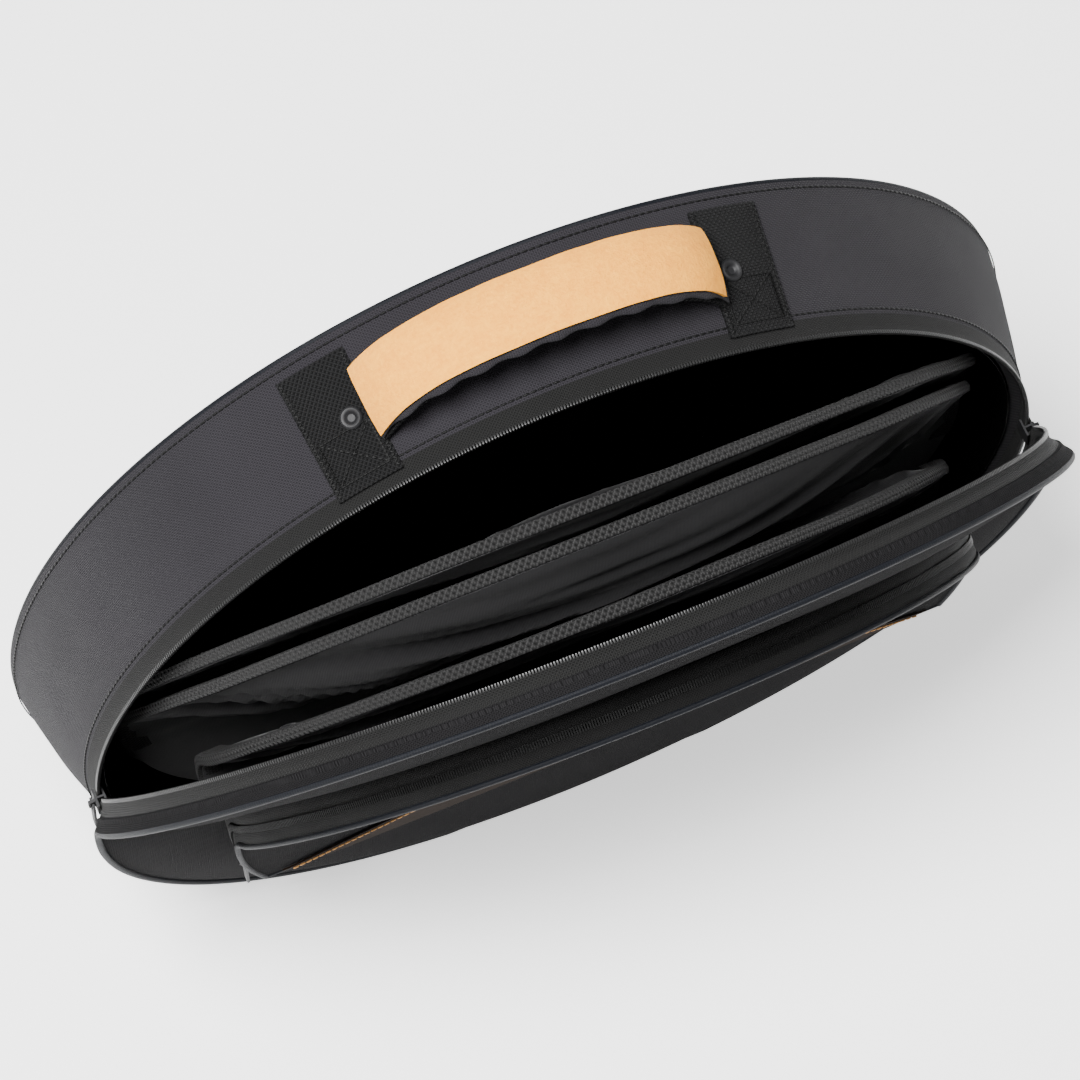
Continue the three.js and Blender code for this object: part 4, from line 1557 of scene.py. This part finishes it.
    def on_gusset(self, angle: np.ndarray, y: np.ndarray, out: float, side: int) -> np.ndarray:
        """Points on the gusset at an angle from the top.

        Args:
            angle: angle from the top, at each point.
            y: depth behind the zipper plane.
            out: how far off the gusset.
            side: -1 for left and 1 for right.

        Returns:
            The points.
        """
        turn = math.pi / 2 - side * angle
        r = FORM.gusset_radius(y) + out
        return points(r * np.cos(turn), y, FORM.centre + r * np.sin(turn))

    def build_patch(self, side: int, tag: str) -> None:
        """One webbing patch with edge stitching, box stitch and rivet.

        Args:
            side: -1 for left and 1 for right.
            tag: left or right, in the names.
        """
        (a0, a1), (y0, y1) = self.patch, self.patch_depth

        def place(u: np.ndarray, v: np.ndarray) -> np.ndarray:
            """Place of each point of the sheet."""
            y = y0 + (y1 - y0) * v
            edge = 0.0005 * np.sin(v * 90) * (np.abs(2 * u - 1) > 0.94)
            return self.on_gusset(a0 + (a1 - a0) * u + edge, y, 0.0030, side)

        size = ((a1 - a0) * 0.3, y1 - y0)
        patch = tailored(f"patch_{tag}", 24, 40, place, size, False, 0.0022, Way.INWARD, radial)
        finish_piece(patch, self.look, "webbing", "webbing", f"handle_patch_{tag}")
        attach(patch, "bag_body")
        lines = []
        for a in (a0 + 0.006, a1 - 0.006):
            y = np.linspace(y0 + 0.002, y1 - 0.002, 40)
            zig = 0.0036 * np.where(np.arange(40) % 2, 1, -1)
            lines.append(self.on_gusset(a + zig, y, self.stitch_out, side))
        a, y = (a0 + 0.016, a1 - 0.016), (y0 + 0.006, y0 + 0.030)
        box = ((0, 0), (1, 0), (1, 1), (0, 1), (0, 0), (1, 1), (1, 0), (0, 1))
        corners = np.array([(a[i], y[j]) for i, j in box])
        t = np.linspace(0, 1, 12)
        for start, end in zip(corners[:-1], corners[1:]):
            step = end - start
            turned, deep = start[0] + step[0] * t, start[1] + step[1] * t
            lines.append(self.on_gusset(turned, deep, self.stitch_out, side))
        middles, along = [], []
        for line in lines:
            middles.append((line[1:] + line[:-1]) / 2)
            along.append(line[1:] - line[:-1])
        centre, way = np.concatenate(middles), np.concatenate(along)
        stitches = row(f"patch_stitch_{tag}", centre, way, radial(centre), (0.0026, 0.0009, 0.0008))
        finish_piece(stitches, self.look, "thread", "webbing")
        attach(stitches, "bag_body")
        self.build_rivet(side, tag)

    def build_rivet(self, side: int, tag: str) -> None:
        """A cap rivet spun from its profile, set square to the patch.

        Args:
            side: -1 for left and 1 for right.
            tag: left or right, in the names.
        """
        calm()
        # radius and height in millimetres: a sunk middle in a rounded ring
        profile = [(0, -0.2), (2.0, -0.2), (2.7, 0.3), (3.2, 1.2), (4.0, 1.8), (5.0, 1.9), (5.8, 1.4),
                   (6.3, 0.4), (6.3, -0.3)]
        mesh = bpy.data.meshes.new(f"rivet_cap_{tag}")
        co = [(r * MM, 0, h * MM) for r, h in profile]
        mesh.from_pydata(co, [(i, i + 1) for i in range(len(co) - 1)], [])
        obj = bpy.data.objects.new(mesh.name, mesh)
        bpy.context.scene.collection.objects.link(obj)
        obj.select_set(True)
        bpy.context.view_layer.objects.active = obj
        bpy.ops.object.mode_set(mode="EDIT")
        bpy.ops.mesh.select_all(action="SELECT")
        bpy.ops.mesh.spin(steps=36, angle=TAU, center=(0, 0, 0), axis=(0, 0, 1))
        bpy.ops.mesh.select_all(action="SELECT")
        bpy.ops.mesh.remove_doubles(threshold=MERGE)
        bpy.ops.mesh.normals_make_consistent(inside=False)
        bpy.ops.object.mode_set(mode="OBJECT")
        turn = math.pi / 2 - side * self.rivet
        slope = math.atan((FORM.back_radius - FORM.zip_radius) / (FORM.depth - FORM.flat))
        where = FORM.seat(self.on_gusset(np.array([self.rivet]), np.array([self.y]), 0.0034, side))[0]
        spin = Matrix.Rotation(math.pi / 2 - turn, 4, "Y") @ Matrix.Rotation(slope, 4, "X")
        obj.data.transform(Matrix.Translation(Vector(where)) @ spin)
        obj.data.uv_layers.new(name="UVMap")
        smooth_shade(obj, 35)
        finish_piece(obj, self.look, "metal", "metal", f"rivet_{tag}")
        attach(obj, "bag_body")


@dataclass
class Hardware:
    """Sliders and pulls, which keep the frame's own shapes under a painted finish."""

    look: Finishes
    frame: dict

    def build(self) -> None:
        """Dresses the sliders and pulls."""
        for kind in ("slider", "pull"):
            for tag in ("left", "right", "pocket"):
                self.look.dress(self.frame["nodes"][f"{kind}_{tag}"], "metal")


# ---------------------------------------------------------------------------------------------
# Studio
# ---------------------------------------------------------------------------------------------
@dataclass(frozen=True)
class Studio:
    """Pale floor, soft light and the camera."""

    azimuth: float = math.radians(-23.31)
    elevation: float = math.radians(66.785)
    distance: float = 2.4676
    lens: float = 142.97
    right_shift: float = -0.01856
    up_shift: float = 0.04611
    floor_side: float = 14
    floor_white: float = 0.95
    sky: float = 0.26

    def axes(self) -> tuple:
        """Right, up and back directions of the camera.

        Returns:
            The three directions.
        """
        a, e = self.azimuth, self.elevation
        back = Vector((math.sin(a) * math.cos(e), -math.cos(a) * math.cos(e), math.sin(e)))
        right = Vector((math.cos(a), math.sin(a), 0))
        return right, back.cross(right), back

    def build(self) -> None:
        """Adds the camera, floor, world and lights."""
        right, up, back = self.axes()
        target = Vector((0, FORM.zip_y, FORM.centre)) + right * self.right_shift + up * self.up_shift
        data = bpy.data.cameras.new("camera")
        data.lens = self.lens
        data.sensor_width = 36
        data.clip_end = 50
        camera = bpy.data.objects.new("camera", data)
        turn = Matrix((right, up, back)).transposed().to_4x4()
        camera.matrix_world = Matrix.Translation(target + back * self.distance) @ turn
        bpy.context.scene.collection.objects.link(camera)
        bpy.context.scene.camera = camera
        calm()
        bpy.ops.mesh.primitive_plane_add(size=self.floor_side, location=(0, 0, -0.0005))
        floor = bpy.context.object
        floor.name = "floor"
        pale = bpy.data.materials.new("pale_floor")
        pale.use_nodes = True
        shader = pale.node_tree.nodes["Principled BSDF"]
        shader.inputs["Base Color"].default_value = (*[self.floor_white] * 3, 1)
        shader.inputs["Emission Color"].default_value = (1, 1, 1, 1)
        shader.inputs["Emission Strength"].default_value = self.floor_white
        shader.inputs["Roughness"].default_value = 0.9
        floor.data.materials.append(pale)
        world = bpy.data.worlds.new("studio")
        world.use_nodes = True
        background = world.node_tree.nodes["Background"]
        background.inputs["Color"].default_value = (1, 1, 1, 1)
        background.inputs["Strength"].default_value = self.sky
        bpy.context.scene.world = world
        self.lamp("key", Vector((-0.75, -0.35, 3.0)), 0.9, 275)
        self.lamp("fill", Vector((-1.0, -1.8, 2.3)), 1.8, 12)
        self.lamp("rim", Vector((-0.6, 2.2, 2.0)), 1.6, 8)

    @staticmethod
    def lamp(name: str, place: Vector, size: float, power: float) -> None:
        """Adds one square soft light aimed at the bag.

        Args:
            name: the light's name.
            place: where it stands.
            size: its side in metres.
            power: its power in watts.
        """
        data = bpy.data.lights.new(name, "AREA")
        data.size = size
        data.energy = power
        obj = bpy.data.objects.new(name, data)
        obj.location = place
        aim = Vector((0, -0.05, 0.35)) - place
        obj.rotation_euler = aim.to_track_quat("-Z", "Y").to_euler()
        bpy.context.scene.collection.objects.link(obj)


def main() -> None:
    """Loads the frame and builds the bag around it."""
    logging.basicConfig(level=logging.INFO, format="%(name)s %(message)s")
    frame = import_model()
    Studio().build()
    look = Finishes()
    Gusset(look).build()
    BackPanel(look).build()
    Front(look).build()
    Divider(look, "rear", 0.052, 0.272, math.radians(21), 91.0, 0.004).build()
    Divider(look, "middle", 0.039, 0.262, math.radians(22), 97.0, 0.026).build()
    Divider(look, "front", -0.002, 0.230, math.radians(22.5), 103.0, 0.004).build()
    Pocket(look).build()
    Handle(look).build()
    Hardware(look, frame).build()


if __name__ == "__main__":
    main()
